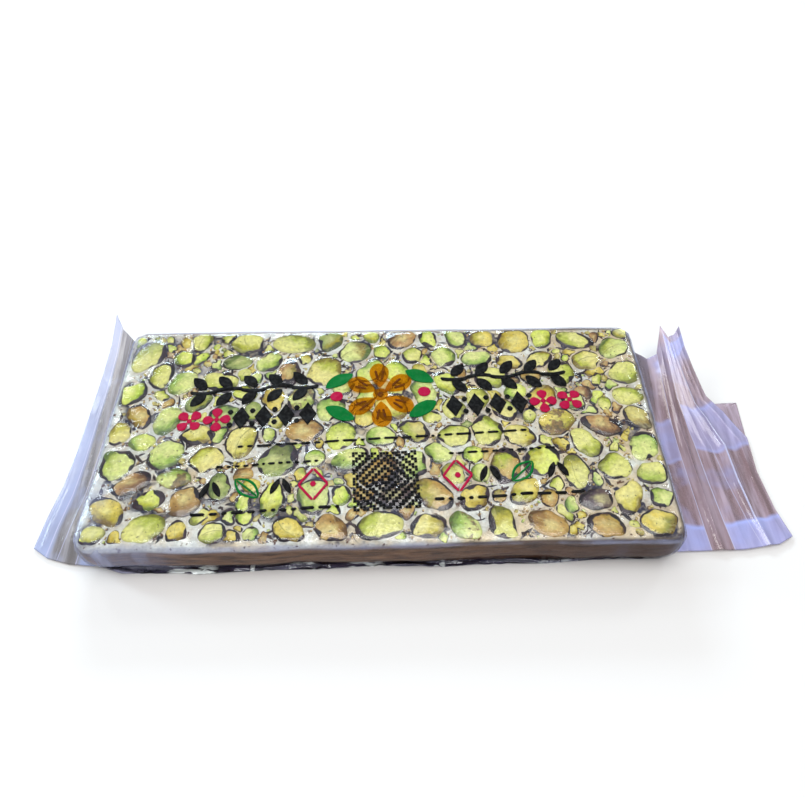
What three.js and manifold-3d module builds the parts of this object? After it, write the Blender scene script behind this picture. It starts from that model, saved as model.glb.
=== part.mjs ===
// A bar of pistachio nougat in a clear vacuum pouch, lying on its flat underside.
// The pouch is shut and clings to the bar, so bar and film are one closed body: a slab with
// rounded edges, the nut kernels standing a little proud of its top, a narrow hem of film along
// each long side, a curled fin of film at the left end and a wide pleated one at the right end.
// Millimetres, +Z up. The origin is the middle of the bar's underside, +X runs along the bar
// towards the wide fin, and -Y is the front.
import * as THREE from "three";
import { mergeVertices } from "three/addons/utils/BufferGeometryUtils.js";
import Module from "manifold-3d";

const wasm = await Module();
wasm.setup();

// Driving dimensions
const bar = { length: 180, width: 86, height: 15, cornerRadius: 6 };
const filmThickness = 0.7;
const overlap = 3; // how far the film's sheets reach into the slab, so that they fuse

// Everything else follows from them
const endX = bar.length / 2;
const sideY = bar.width / 2;

// ---------------------------------------------------------------- small tools

function clamp01(t) {
  return Math.min(1, Math.max(0, t));
}

function mix(a, b, t) {
  return a + (b - a) * t;
}

function smoothStep(from, to, x) {
  const t = clamp01((x - from) / (to - from));
  return t * t * (3 - 2 * t);
}

// The value at x of the straight-lined curve through [x, value] stops.
function through(stops, x) {
  const next = stops.findIndex(([at]) => at >= x);
  if (next === 0) return stops[0][1];
  if (next < 0) return stops[stops.length - 1][1];
  const [x0, y0] = stops[next - 1];
  const [x1, y1] = stops[next];
  return mix(y0, y1, (x - x0) / (x1 - x0));
}

// A repeatable stream of numbers from 0 to 1.
function randomStream(seed) {
  let state = seed >>> 0;
  return () => {
    state = (Math.imul(state, 1664525) + 1013904223) >>> 0;
    return state / 4294967296;
  };
}

function solidFrom(positions, triangles) {
  const geometry = new THREE.BufferGeometry();
  geometry.setAttribute("position", new THREE.Float32BufferAttribute(positions, 3));
  geometry.setIndex(triangles);
  const merged = mergeVertices(geometry, 1e-4);
  return new wasm.Manifold(
    new wasm.Mesh({
      numProp: 3,
      vertProperties: new Float32Array(merged.attributes.position.array),
      triVerts: new Uint32Array(merged.index.array),
    }),
  );
}

// A closed body through rings of points, the lowest first, each ring counter-clockwise from above.
function loft(rings) {
  const count = rings[0].length;
  const positions = rings.flat().flatMap((p) => [p.x, p.y, p.z]);
  const triangles = [];
  for (let level = 0; level + 1 < rings.length; level++) {
    for (let k = 0; k < count; k++) {
      const a = level * count + k;
      const b = level * count + ((k + 1) % count);
      triangles.push(a, b, b + count, a, b + count, a + count);
    }
  }
  const cap = (ring) => THREE.ShapeUtils.triangulateShape(ring.map((p) => new THREE.Vector2(p.x, p.y)), []);
  for (const [a, b, c] of cap(rings[0])) triangles.push(a, c, b);
  const first = (rings.length - 1) * count;
  for (const [a, b, c] of cap(rings[rings.length - 1])) triangles.push(first + a, first + b, first + c);
  return solidFrom(positions, triangles);
}

// A sheet of film as a closed body: point(u, v) gives its middle surface for u and v from 0 to 1.
function sheet(point, across, along, thickness = filmThickness) {
  const positions = [];
  const triangles = [];
  const row = along + 1;
  const layer = (across + 1) * row;
  for (const side of [-0.5, 0.5]) {
    for (let i = 0; i <= across; i++) {
      for (let j = 0; j <= along; j++) {
        const p = point(i / across, j / along);
        positions.push(p.x, p.y, p.z + side * thickness);
      }
    }
  }
  const quad = (a, b, c, d) => triangles.push(a, b, c, a, c, d);
  for (let i = 0; i < across; i++) {
    for (let j = 0; j < along; j++) {
      const a = i * row + j;
      quad(a, a + 1, a + row + 1, a + row);
      quad(layer + a, layer + a + row, layer + a + row + 1, layer + a + 1);
    }
  }
  for (let i = 0; i < across; i++) {
    const near = i * row;
    const far = near + along;
    quad(near, near + row, layer + near + row, layer + near);
    quad(far + row, far, layer + far, layer + far + row);
  }
  for (let j = 0; j < along; j++) {
    const first = j;
    const last = across * row + j;
    quad(first + 1, first, layer + first, layer + first + 1);
    quad(last, last + 1, layer + last + 1, layer + last);
  }
  const made = solidFrom(positions, triangles);
  return made.volume() > 0 ? made : solidFrom(positions, triangles.reverse());
}

// ---------------------------------------------------------------- the slab

// Heights, and how far each stands in from the full outline: base, undercut, wall and top bevel.
const slabLevels = [
  { z: 0, inset: 2.2 },
  { z: 0.7, inset: 1.3 },
  { z: 2.2, inset: 1.5 },
  { z: 3.6, inset: 0.5, wavy: 1 },
  { z: 5.4, inset: 0.1 },
  { z: 9.5, inset: 0 },
  { z: 12.7, inset: 0.15 },
  { z: 14.2, inset: 0.9 },
  { z: bar.height, inset: 2.6 },
];
const slabSteps = { corner: 5, long: 20, short: 10 };

// The front side is pressed in a little, right of its middle.
const frontDent = { depth: 1.2, at: 45, halfWidth: 45 };

// The wall bellies in and out along its run, as hand-pressed nougat does: how far out it stands.
function wallWave(x, y) {
  const dent = y < 0 ? frontDent.depth * Math.exp(-(((x - frontDent.at) / frontDent.halfWidth) ** 2)) : 0;
  return 0.2 * Math.sin(x * 0.11 + 0.6) + 0.14 * Math.sin(x * 0.27 + y * 0.19) + 0.1 * Math.sin(y * 0.33) - dent;
}

// The foot of the wall is scalloped: it stands higher in some places than in others.
function footWave(x, y) {
  return 0.9 * Math.sin(x * 0.16 + 1.9) * Math.sin(x * 0.047 + y * 0.02 + 0.4) + 0.3 * Math.sin(x * 0.41 + y * 0.3);
}

function slabRing({ z, inset, wavy = 0 }) {
  const r = bar.cornerRadius;
  const halfX = endX - inset;
  const halfY = sideY - inset;
  const turn = Math.max(r - inset * 0.5, 1);
  const ring = [];
  const run = (x0, y0, x1, y1, steps) => {
    for (let k = 0; k < steps; k++) ring.push([mix(x0, x1, k / steps), mix(y0, y1, k / steps)]);
  };
  const corner = (cx, cy, startAngle) => {
    for (let k = 0; k < slabSteps.corner; k++) {
      const angle = startAngle + (k / slabSteps.corner) * (Math.PI / 2);
      ring.push([cx + turn * Math.cos(angle), cy + turn * Math.sin(angle)]);
    }
  };
  corner(halfX - turn, halfY - turn, 0);
  run(halfX - turn, halfY, turn - halfX, halfY, slabSteps.long);
  corner(turn - halfX, halfY - turn, Math.PI / 2);
  run(-halfX, halfY - turn, -halfX, turn - halfY, slabSteps.short);
  corner(turn - halfX, turn - halfY, Math.PI);
  run(turn - halfX, -halfY, halfX - turn, -halfY, slabSteps.long);
  corner(halfX - turn, turn - halfY, -Math.PI / 2);
  run(halfX, turn - halfY, halfX, halfY - turn, slabSteps.short);
  return ring.map(([x, y]) => {
    const out = wallWave(x, y);
    const standX = Math.abs(x) > halfX - 1 ? Math.sign(x) * out : 0;
    const standY = Math.abs(y) > halfY - 1 ? Math.sign(y) * out : 0;
    return new THREE.Vector3(x + standX, y + standY, z + wavy * footWave(x, y));
  });
}

function slab() {
  return loft(slabLevels.map(slabRing));
}

// ---------------------------------------------------------------- the kernels on top

const kernels = {
  seed: 20,
  columns: 15,
  rows: 10,
  fieldX: 87, // half the length and half the width of the field that they fill
  fieldY: 40,
  jitter: 0.3, // of a cell
  bare: 0.06, // the share of cells with no kernel
  whole: 0.14, // the share that lie whole and domed, the others being cut flat
  sliver: 0.2, // the share that are small pieces
  gap: 1.2, // nougat between two neighbours
  relaxSteps: 24,
  near: 20, // kernels further apart than this can't touch
  outlinePoints: 36,
};

// The kernels that stand out for their size, colour or shape: middle, half length, half width
// and turn in degrees. The rule below fills in the others round them.
const standOuts = [
  { x: -76.7, y: -20.7, long: 8.6, wide: 4, turn: 24, whole: true },
  { x: -82, y: 30, long: 8, wide: 5.6, turn: 58 },
  { x: -50.2, y: 27.4, long: 5.8, wide: 3.3, turn: 10 },
  { x: -54.9, y: 18.6, long: 6.7, wide: 4.3, turn: -12 },
  { x: -68, y: 18.2, long: 5.5, wide: 4.4, turn: 45 },
  { x: -70, y: 2.5, long: 6, wide: 4.3, turn: 65 },
  { x: -68.1, y: -10.4, long: 6.2, wide: 5, turn: 35 },
  { x: -69.5, y: -35.4, long: 6.6, wide: 4.6, turn: 20 },
  { x: -59, y: -27.2, long: 5.3, wide: 5, turn: 60, whole: true },
  { x: -0.9, y: -35.6, long: 8.4, wide: 4.6, turn: 20 },
  { x: -1.1, y: -17.8, long: 8, wide: 4.5, turn: 25 },
  { x: 3.4, y: -26.6, long: 6.2, wide: 3.3, turn: 24, whole: true },
  { x: -32, y: 35.2, long: 8.8, wide: 4.6, turn: 0 },
  { x: -25.2, y: -1.4, long: 6.8, wide: 4.6, turn: 8 },
  { x: 82.6, y: -9.7, long: 7.4, wide: 4.6, turn: 64 },
  { x: 70, y: -1.3, long: 7.6, wide: 3.6, turn: -14, whole: true },
  { x: 67.7, y: 35.4, long: 8, wide: 4, turn: -16 },
  { x: 48, y: -35.4, long: 7, wide: 4.1, turn: -22 },
  { x: 81.5, y: 10.4, long: 5, wide: 4.4, turn: -10, notch: 0.35 },
  { x: 64, y: -28.2, long: 6, wide: 3.9, turn: 5, whole: true },
  { x: 32.3, y: 27.4, long: 5.4, wide: 3.8, turn: 0, notch: 0.35 },
];

// A kernel's uneven outline and its height above the nougat.
function drawShape(random, isWhole) {
  return {
    lumps: [2, 3, 4, 5].map((waves) => ({ waves, size: 0.06 * random(), phase: random() * 2 * Math.PI })),
    notch: { at: random() * 2 * Math.PI, depth: random() < 0.3 ? 0.25 * random() : 0 },
    height: isWhole ? mix(0.75, 1.2, random()) : mix(0.35, 0.65, random()),
  };
}

function standOutKernel(random, { x, y, long, wide, turn, whole = false, notch = 0 }) {
  const shape = drawShape(random, whole);
  if (notch) shape.notch = { at: Math.PI / 2, depth: notch };
  return { x, y, long, wide, turn: (turn * Math.PI) / 180, whole, sliver: false, fixed: true, ...shape };
}

function commonKernel(random, x, y) {
  const kind = random();
  const sliver = kind > 1 - kernels.sliver;
  const whole = kind < kernels.whole;
  const size = random();
  const stretch = random();
  const long = sliver ? mix(2.2, 4, size) : whole ? mix(5.8, 8, size) : mix(4.5, 7, size);
  const wide = long * mix(whole ? 0.5 : 0.6, whole ? 0.66 : 0.92, stretch);
  const turn = random() * Math.PI;
  return { x, y, long, wide, turn, whole, sliver, fixed: false, ...drawShape(random, whole) };
}

// How far the kernel's ellipse reaches from its middle in a direction.
function reachOf(kernel, angle) {
  const c = Math.cos(angle - kernel.turn) / kernel.long;
  const s = Math.sin(angle - kernel.turn) / kernel.wide;
  return 1 / Math.hypot(c, s);
}

// How far two kernels' ovals overlap, with the gap between them counted in, and along what line.
function crowding(one, other) {
  const dx = other.x - one.x;
  const dy = other.y - one.y;
  const apart = Math.hypot(dx, dy);
  if (apart > kernels.near) return { short: 0, dx, dy, apart };
  const angle = Math.atan2(dy, dx);
  return { short: reachOf(one, angle) + reachOf(other, angle) + kernels.gap - apart, dx, dy, apart };
}

// Rows of cells with a kernel off the middle of each, where no stand-out kernel already lies.
function scatterKernels(random) {
  const laid = standOuts.map((standOut) => standOutKernel(random, standOut));
  const isTaken = (x, y) =>
    laid.some((k) => k.fixed && Math.hypot(k.x - x, k.y - y) < 1.15 * reachOf(k, Math.atan2(y - k.y, x - k.x)));
  const cellX = (2 * kernels.fieldX) / kernels.columns;
  const cellY = (2 * kernels.fieldY) / kernels.rows;
  for (let row = 0; row < kernels.rows; row++) {
    for (let column = 0; column < kernels.columns; column++) {
      const shift = row % 2 ? 0.25 : -0.25;
      const x = (column + 0.5 + shift + (random() - 0.5) * 2 * kernels.jitter) * cellX - kernels.fieldX;
      const y = (row + 0.5 + (random() - 0.5) * 2 * kernels.jitter) * cellY - kernels.fieldY;
      const isBare = random() < kernels.bare;
      const kernel = commonKernel(random, x, y);
      if (!isBare && !isTaken(x, y)) laid.push(kernel);
    }
  }
  return laid;
}

// The scattered kernels, pushed apart where they crowd each other. The stand-outs stay put.
function layKernels() {
  const laid = scatterKernels(randomStream(kernels.seed));
  for (let step = 0; step < kernels.relaxSteps; step++) {
    const moves = laid.map(() => [0, 0]);
    for (let i = 0; i < laid.length; i++) {
      for (let j = i + 1; j < laid.length; j++) {
        const { short, dx, dy, apart } = crowding(laid[i], laid[j]);
        if (short <= 0) continue;
        const push = (0.22 * short) / apart;
        moves[i][0] -= push * dx;
        moves[i][1] -= push * dy;
        moves[j][0] += push * dx;
        moves[j][1] += push * dy;
      }
    }
    laid.forEach((kernel, i) => {
      if (kernel.fixed) return;
      const roomX = kernels.fieldX - 0.75 * kernel.wide;
      const roomY = kernels.fieldY - 0.75 * kernel.wide;
      kernel.x = Math.min(roomX, Math.max(-roomX, kernel.x + moves[i][0]));
      kernel.y = Math.min(roomY, Math.max(-roomY, kernel.y + moves[i][1]));
    });
  }
  return laid;
}

// A kernel's outline as distances from its middle: its own uneven oval, cut back from its
// neighbours and from the field's edge, with the corners rounded off.
function outlineOf(kernel, laid) {
  const count = kernels.outlinePoints;
  let outline = Array.from({ length: count }, (_, k) => {
    const angle = (k / count) * 2 * Math.PI;
    const local = angle - kernel.turn;
    let reach = reachOf(kernel, angle);
    for (const lump of kernel.lumps) reach *= 1 + lump.size * Math.cos(lump.waves * local + lump.phase);
    const off = Math.abs(Math.atan2(Math.sin(local - kernel.notch.at), Math.cos(local - kernel.notch.at)));
    reach *= 1 - kernel.notch.depth * Math.exp(-((off / 0.4) ** 2));
    const limit = (distance, facing) => {
      if (facing > 0.08) reach = Math.min(reach, distance / facing);
    };
    for (const other of laid) {
      if (other === kernel) continue;
      const { short, dx, dy, apart } = crowding(kernel, other);
      if (short <= 0) continue;
      const towards = Math.atan2(dy, dx);
      const mine = reachOf(kernel, towards);
      const theirs = reachOf(other, towards);
      limit((apart * mine) / (mine + theirs) - kernels.gap / 2, Math.cos(angle - towards));
    }
    limit(kernels.fieldX - kernel.x, Math.cos(angle));
    limit(kernels.fieldX + kernel.x, -Math.cos(angle));
    limit(kernels.fieldY - kernel.y, Math.sin(angle));
    limit(kernels.fieldY + kernel.y, -Math.sin(angle));
    return Math.max(reach, 0.6);
  });
  for (let pass = 0; pass < 2; pass++) {
    outline = outline.map((r, k) => {
      const before = outline[(k + count - 1) % count];
      const after = outline[(k + 1) % count];
      return (before + 2 * r + after) / 4;
    });
  }
  return outline;
}

// A low stud of the outline's shape, sunk into the slab's top, with a bevelled or domed crown.
function kernelStud(kernel, laid) {
  const outline = outlineOf(kernel, laid);
  const every = kernel.sliver ? 6 : 4;
  const profile = kernel.whole
    ? [{ z: -1, size: 0.95 }, { z: 0, size: 1 }, { z: 0.62, size: 0.82 }, { z: 1, size: 0.45 }]
    : [{ z: -1, size: 0.95 }, { z: 0, size: 1 }, { z: 1, size: 0.86 }];
  const rings = profile.map(({ z, size }) => {
    const ring = [];
    for (let k = 0; k < kernels.outlinePoints; k += every) {
      const angle = (k / kernels.outlinePoints) * 2 * Math.PI;
      const reach = outline[k] * size;
      ring.push(
        new THREE.Vector3(
          kernel.x + reach * Math.cos(angle),
          kernel.y + reach * Math.sin(angle),
          bar.height + z * kernel.height,
        ),
      );
    }
    return ring;
  });
  return loft(rings);
}

function kernelStuds() {
  const laid = layKernels();
  return laid.map((kernel) => kernelStud(kernel, laid));
}

// ---------------------------------------------------------------- the film's fins and hems

// The wide fin at the right end. u runs from the bar to the free edge, v from front to back.
// It lies flat at the front and climbs towards the back, where its edge ends in two peaks.
const rightFin = {
  reach: 37, // beyond the bar's end, at the front
  frontY: [[0, -39], [0.6, -38.6], [0.88, -37], [1, -34.5]],
  backX: [[0, 0], [0.2, 7], [0.32, 10.6], [0.5, 13.3], [0.8, 15], [1, 18.4]], // beyond the bar's end
  backY: [[0, 36], [0.1, 33.5], [0.22, 32], [0.34, 33.5], [0.5, 44.2], [0.72, 39], [0.88, 40], [1, 43.4]],
  backZ: [[0, 12], [0.22, 8.5], [0.34, 9.5], [0.5, 13], [0.8, 12], [1, 13.4]],
  // How far the free edge stands out from a straight line between its ends
  edgeShift: [[0, 0], [0.12, 0], [0.3, 2.3], [0.47, 6.6], [0.6, 3], [0.67, -0.6], [0.8, -1.2], [0.9, -1.2], [1, 0]],
  flatUntil: 0.44, // of v
  lyingHeight: 1.1,
  creases: [
    { at: 0.16, height: 0.9, width: 0.04 },
    { at: 0.42, height: 1.7, width: 0.035 },
    { at: 0.62, height: 0.7, width: 0.05 },
    { at: 0.8, height: 2.1, width: 0.04 },
    { at: 0.94, height: 0.8, width: 0.03 },
  ],
  steps: { across: 25, along: 16 },
};

function rightFinPoint(u, v) {
  const fin = rightFin;
  const frontX = endX - overlap + (fin.reach + overlap) * u;
  const backX = endX - overlap * (1 - u) + through(fin.backX, u);
  const x = mix(frontX, backX, v) + u ** 3 * through(fin.edgeShift, v);
  const y = mix(through(fin.frontY, u), through(fin.backY, u), v);
  const climb = (through(fin.backZ, u) - fin.lyingHeight) * smoothStep(fin.flatUntil, 1.12, v) * 1.06;
  const folds = fin.creases.reduce((sum, crease) => {
    const off = Math.abs(u - crease.at) / crease.width;
    return sum + crease.height * Math.exp(-off);
  }, 0);
  const depth = mix(0.55, 1, smoothStep(0, 0.3, v)) * mix(1, 0.6, smoothStep(0.7, 1, v));
  return new THREE.Vector3(x, y, fin.lyingHeight + climb + folds * depth);
}

// The lower of the two webs of the wide fin lies flat and shows beyond the upper one as a corner.
const lowerWeb = {
  thickness: 0.6,
  inside: 3, // how far it reaches under the bar
  edge: [[34.6, -34], [33, -11], [34.8, 2.6], [36.2, 17.4], [30.4, 14.4]], // beyond the bar's end
};

function lowerWebSolid() {
  const { edge, thickness, inside } = lowerWeb;
  const outline = edge.map(([out, y]) => new THREE.Vector2(endX + out, y));
  outline.unshift(new THREE.Vector2(endX - inside, edge[0][1]));
  outline.push(new THREE.Vector2(endX - inside, edge[edge.length - 1][1]));
  const rings = [0, thickness].map((z) => outline.map((p) => new THREE.Vector3(p.x, p.y, z)));
  return loft(rings);
}

// The narrow fin at the left end: flat at the front, curling up to a pointed back corner.
const leftFin = {
  edge: [
    // how far along v, reach beyond the bar's end, and height of the free edge
    { v: 0, reach: 17.5, z: 0.9 },
    { v: 0.12, reach: 15.8, z: 2 },
    { v: 0.25, reach: 12.8, z: 4 },
    { v: 0.4, reach: 11, z: 6 },
    { v: 0.57, reach: 9.4, z: 8.6 },
    { v: 0.73, reach: 7.4, z: 12 },
    { v: 0.87, reach: 5.8, z: 15.6 },
    { v: 1, reach: 5, z: 20 },
  ],
  frontY: [[0, -40.6], [0.4, -39.8], [0.75, -37.8], [1, -34.5]],
  backY: [[0, 37.5], [0.3, 39.5], [0.7, 41.8], [1, 46.4]],
  rootZ: [[0, 1], [0.3, 2], [0.7, 7], [1, 12]],
  crease: { at: 0.55, height: 0.9, width: 0.12 },
  steps: { across: 8, along: 20 },
};

function leftFinPoint(u, v) {
  const fin = leftFin;
  const reach = through(fin.edge.map((stop) => [stop.v, stop.reach]), v);
  const edgeZ = through(fin.edge.map((stop) => [stop.v, stop.z]), v);
  const rootZ = through(fin.rootZ, v);
  const x = -(endX - overlap + (reach + overlap) * u);
  const y = mix(through(fin.frontY, u), through(fin.backY, u), v);
  const curl = mix(rootZ, edgeZ, u ** 1.5);
  const fold = fin.crease.height * Math.exp(-Math.abs(u - fin.crease.at) / fin.crease.width) * smoothStep(0, 0.2, v);
  return new THREE.Vector3(x, y, Math.max(curl + fold * 0.6, filmThickness));
}

// The hem of film along the foot of a long side: how far from the bar's middle it reaches at
// the left end and at the right end, and its waves.
const hem = { halfLength: 86, left: 43.4, right: 41, waviness: 0.5, height: 0.75, ripple: 0.35, inside: 4, steps: 44 };

function hemPoint(side) {
  return (u, v) => {
    const x = mix(-hem.halfLength, hem.halfLength, v);
    const rounding = 2.5 * (1 - smoothStep(0, 0.05, v) * smoothStep(1, 0.95, v));
    const wave = hem.waviness * Math.sin(x * 0.13 + side) * Math.sin(x * 0.052 + 1.3);
    const y = side * mix(sideY - hem.inside, mix(hem.left, hem.right, v) + wave - rounding, u);
    const z = hem.height + hem.ripple * u * Math.sin(x * 0.31 + 2 * side) * Math.sin(x * 0.11);
    return new THREE.Vector3(x, y, z);
  };
}

// ---------------------------------------------------------------- the part

function sealedPouch() {
  const pieces = [
    slab(),
    ...kernelStuds(),
    sheet(rightFinPoint, rightFin.steps.across, rightFin.steps.along),
    lowerWebSolid(),
    sheet(leftFinPoint, leftFin.steps.across, leftFin.steps.along),
    sheet(hemPoint(-1), 2, hem.steps),
    sheet(hemPoint(1), 2, hem.steps),
  ];
  const joined = wasm.Manifold.union(pieces);
  const mesh = joined.getMesh();
  const positions = [];
  for (let i = 0; i < mesh.numVert; i++) {
    positions.push(...mesh.vertProperties.subarray(i * mesh.numProp, i * mesh.numProp + 3));
  }
  const geometry = new THREE.BufferGeometry();
  geometry.setAttribute("position", new THREE.Float32BufferAttribute(positions, 3));
  geometry.setIndex(Array.from(mesh.triVerts));
  const film = new THREE.MeshStandardMaterial({ color: 0xd3d0a8, roughness: 0.25, metalness: 0 });
  const made = new THREE.Mesh(geometry, film);
  made.name = "sealed_pouch";
  return made;
}

const part = new THREE.Group();
part.add(sealedPouch());
export default part;
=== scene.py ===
from math import atan2, cos, hypot, pi, radians, sin, tau

import bpy
import numpy as np
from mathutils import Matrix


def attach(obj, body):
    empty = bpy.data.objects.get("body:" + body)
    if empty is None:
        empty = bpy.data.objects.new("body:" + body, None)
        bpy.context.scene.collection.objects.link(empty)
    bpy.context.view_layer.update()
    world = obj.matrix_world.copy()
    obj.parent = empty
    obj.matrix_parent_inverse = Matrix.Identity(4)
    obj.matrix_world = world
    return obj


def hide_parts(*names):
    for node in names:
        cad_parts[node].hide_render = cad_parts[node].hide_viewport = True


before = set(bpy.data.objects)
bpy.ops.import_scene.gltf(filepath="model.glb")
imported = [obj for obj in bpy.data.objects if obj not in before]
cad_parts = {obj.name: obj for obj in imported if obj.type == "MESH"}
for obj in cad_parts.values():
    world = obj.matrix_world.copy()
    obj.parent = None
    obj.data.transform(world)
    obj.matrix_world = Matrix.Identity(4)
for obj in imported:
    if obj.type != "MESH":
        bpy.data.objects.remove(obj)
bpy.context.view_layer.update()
mm = 0.001
pouch = "sealed_pouch"

# sizes that every piece is worked out from, in millimetres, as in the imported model
bar = {"length": 180, "width": 86, "height": 15, "cornerRadius": 6}
endX = bar["length"] / 2
sideY = bar["width"] / 2
overlap = 3
filmThickness = 0.7


# small tools

def mix(a, b, t):
    return a + (b - a) * t


def smoothStep(low, high, x):
    t = np.clip((x - low) / (high - low), 0, 1)
    return t * t * (3 - 2 * t)


def through(stops, x):
    return np.interp(x, *zip(*stops))


def mound(off, halfWidth=1):
    return np.exp(-((off / halfWidth) ** 2))


def turned(x, y, angle):
    return x * cos(angle) - y * sin(angle), x * sin(angle) + y * cos(angle)


def angleTo(angle, heading):
    off = angle - heading
    return np.abs(np.arctan2(np.sin(off), np.cos(off)))


def randomStream(seed):
    state = [seed]

    def draw():
        state[0] = (state[0] * 1664525 + 1013904223) & 0xFFFFFFFF
        return state[0] / 4294967296

    return draw


def draws(random, count):
    return [random() for _ in range(count)]


def rgb(r, g, b):
    # a screen colour, 0 to 255, as light
    def one(c):
        c /= 255
        return c / 12.92 if c <= 0.04045 else ((c + 0.055) / 1.055) ** 2.4

    return (one(r), one(g), one(b), 1)


def deselectAll():
    bpy.ops.object.select_all(action="DESELECT")


def onlySelect(*objects):
    deselectAll()
    for obj in objects:
        obj.select_set(True)
    bpy.context.view_layer.objects.active = objects[0]


def editAll(kind="FACE", action="SELECT"):
    # edit mode on the selected piece, with all or nothing of it chosen
    bpy.ops.object.mode_set(mode="EDIT")
    bpy.ops.mesh.select_mode(type=kind)
    bpy.ops.mesh.select_all(action=action)


def readPoints(obj):
    points = np.empty(len(obj.data.vertices) * 3)
    obj.data.vertices.foreach_get("co", points)
    return points.reshape(-1, 3)


def writePoints(obj, x, y, z):
    # moves each point to its place, given in millimetres
    obj.data.vertices.foreach_set("co", (np.stack([x, y, z], 1) * mm).ravel())
    obj.data.update()


def setAttribute(obj, name, values):
    # a number, a vector or a colour for each point
    kinds = {1: ("FLOAT", "value"), 3: ("FLOAT_VECTOR", "vector"), 4: ("FLOAT_COLOR", "color")}
    kind, key = kinds[np.size(values) // len(values)]
    field = obj.data.attributes.new(name, kind, "POINT")
    field.data.foreach_set(key, np.ascontiguousarray(values, dtype=np.float32).ravel())


def join(objects):
    onlySelect(*objects)
    bpy.ops.object.join()
    return bpy.context.object


def finishPiece(obj, name, material):
    obj.name = obj.data.name = name
    onlySelect(obj)
    bpy.ops.object.transform_apply(location=True, rotation=True, scale=True)
    bpy.ops.object.shade_smooth()
    obj.data.materials.clear()
    obj.data.materials.append(material)
    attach(obj, "root")
    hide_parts(pouch)
    return obj


# camera, floor and light

view = {"location": (0.00486, -0.12117, 0.19062), "turn": (0.6432, 0.0018, -0.0162), "lens": 29.52}
bpy.ops.object.camera_add(location=view["location"], rotation=view["turn"])
camera = bpy.context.object
camera.name = "camera"
camera.data.lens = view["lens"]
camera.data.clip_start = 0.005
bpy.context.scene.camera = camera

studio = {
    "floorSize": 8,
    "floorColour": (0.665, 0.645, 0.64, 1),
    "air": (0.95, 0.97, 1.0, 1),
    "airStrength": 0.5,
    "lamps": {
        # name: place, point aimed at, size across and up, watts, colour
        "backPanel": ((-0.1, 0.62, 0.3), (0, 0, 0), (0.4, 0.13), 3.4, (0.74, 0.9, 1)),
        "leftPanel": ((-0.62, 0.2, 0.32), (0, 0, 0), (0.09, 0.4), 2.2, (0.74, 0.9, 1)),
        "topSoftbox": ((0.06, -0.05, 0.75), (0, 0, 0), (0.5, 0.5), 3.8, (1, 1, 0.97)),
        "sparkBack": ((0.5, 0.45, 0.42), (0, 0, 0), (0.11, 0.11), 0.6, (0.86, 0.97, 1)),
        "sparkLeft": ((-0.45, 0.5, 0.5), (0, 0, 0), (0.11, 0.11), 0.6, (0.86, 0.97, 1)),
        "sparkTop": ((-0.3, 0.05, 0.85), (0, 0, 0), (0.12, 0.12), 0.6, (0.9, 0.98, 1)),
        "frontFill": ((0.05, -0.7, 0.3), (0, 0, 0), (0.5, 0.25), 1.0, (1, 0.97, 0.94)),
    },
}


def addLamp(name, place, aim, size, watts, colour):
    bpy.ops.object.light_add(type="AREA", location=place)
    lamp = bpy.context.object
    lamp.name = name
    lamp.data.shape = "RECTANGLE"
    lamp.data.size, lamp.data.size_y = size
    lamp.data.energy = watts
    lamp.data.color = colour
    lamp.visible_glossy = name != "frontFill"
    away = lamp.location - type(lamp.location)(aim)
    lamp.rotation_euler = away.to_track_quat("Z", "Y").to_euler()


def plainMaterial(name, colour, roughness):
    material = bpy.data.materials.new(name)
    material.use_nodes = True
    shader = material.node_tree.nodes["Principled BSDF"]
    shader.inputs["Base Color"].default_value = colour
    shader.inputs["Roughness"].default_value = roughness
    return material


deselectAll()
bpy.ops.mesh.primitive_plane_add(size=studio["floorSize"], location=(0, 0, 0))
floor = bpy.context.object
floor.name = "floor"
floor.data.materials.append(plainMaterial("paleFloor", studio["floorColour"], 0.75))
for name, facts in studio["lamps"].items():
    addLamp(name, *facts)
world = bpy.data.worlds.new("softAir")
bpy.context.scene.world = world
world.use_nodes = True
air = world.node_tree.nodes["Background"].inputs
air["Color"].default_value = studio["air"]
air["Strength"].default_value = studio["airStrength"]
bpy.context.scene.view_settings.view_transform = "Standard"
print("stage ready")


# where the kernels lie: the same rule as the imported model's relief

kernels = {
    "seed": 20, "columns": 15, "rows": 10, "fieldX": 87, "fieldY": 40, "jitter": 0.3,
    "bare": 0.06, "gap": 1.2, "relaxSteps": 24, "near": 20, "outlinePoints": 36,
    "whole": 0.14, "sliver": 0.2,  # shares of the two rarer kinds
    # least and most half length, width as a share of it, and height over the nougat
    "halfLength": {"cut": (4.5, 7), "whole": (5.8, 8), "sliver": (2.2, 4)},
    "widthShare": {"cut": (0.6, 0.92), "whole": (0.5, 0.66), "sliver": (0.6, 0.92)},
    "height": {"cut": (0.35, 0.65), "whole": (0.75, 1.2), "sliver": (0.35, 0.65)},
    "lump": 0.06,  # most that one wave adds to an outline
    "notch": (0.3, 0.25, 0.4),  # share of those with a notch, its most depth, its half width in radians
    "spacing": 0.75,  # share of its half width that a kernel keeps from the field's edge
    "push": 0.22,  # share of an overlap that each step pushes the two apart
    "least": 0.6,  # least reach of an outline
    "skinRoom": 0.5,  # the skin round each kernel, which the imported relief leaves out
    "rounding": 3,  # times that the corners of an outline are softened
}
fieldX, fieldY = kernels["fieldX"], kernels["fieldY"]

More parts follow.
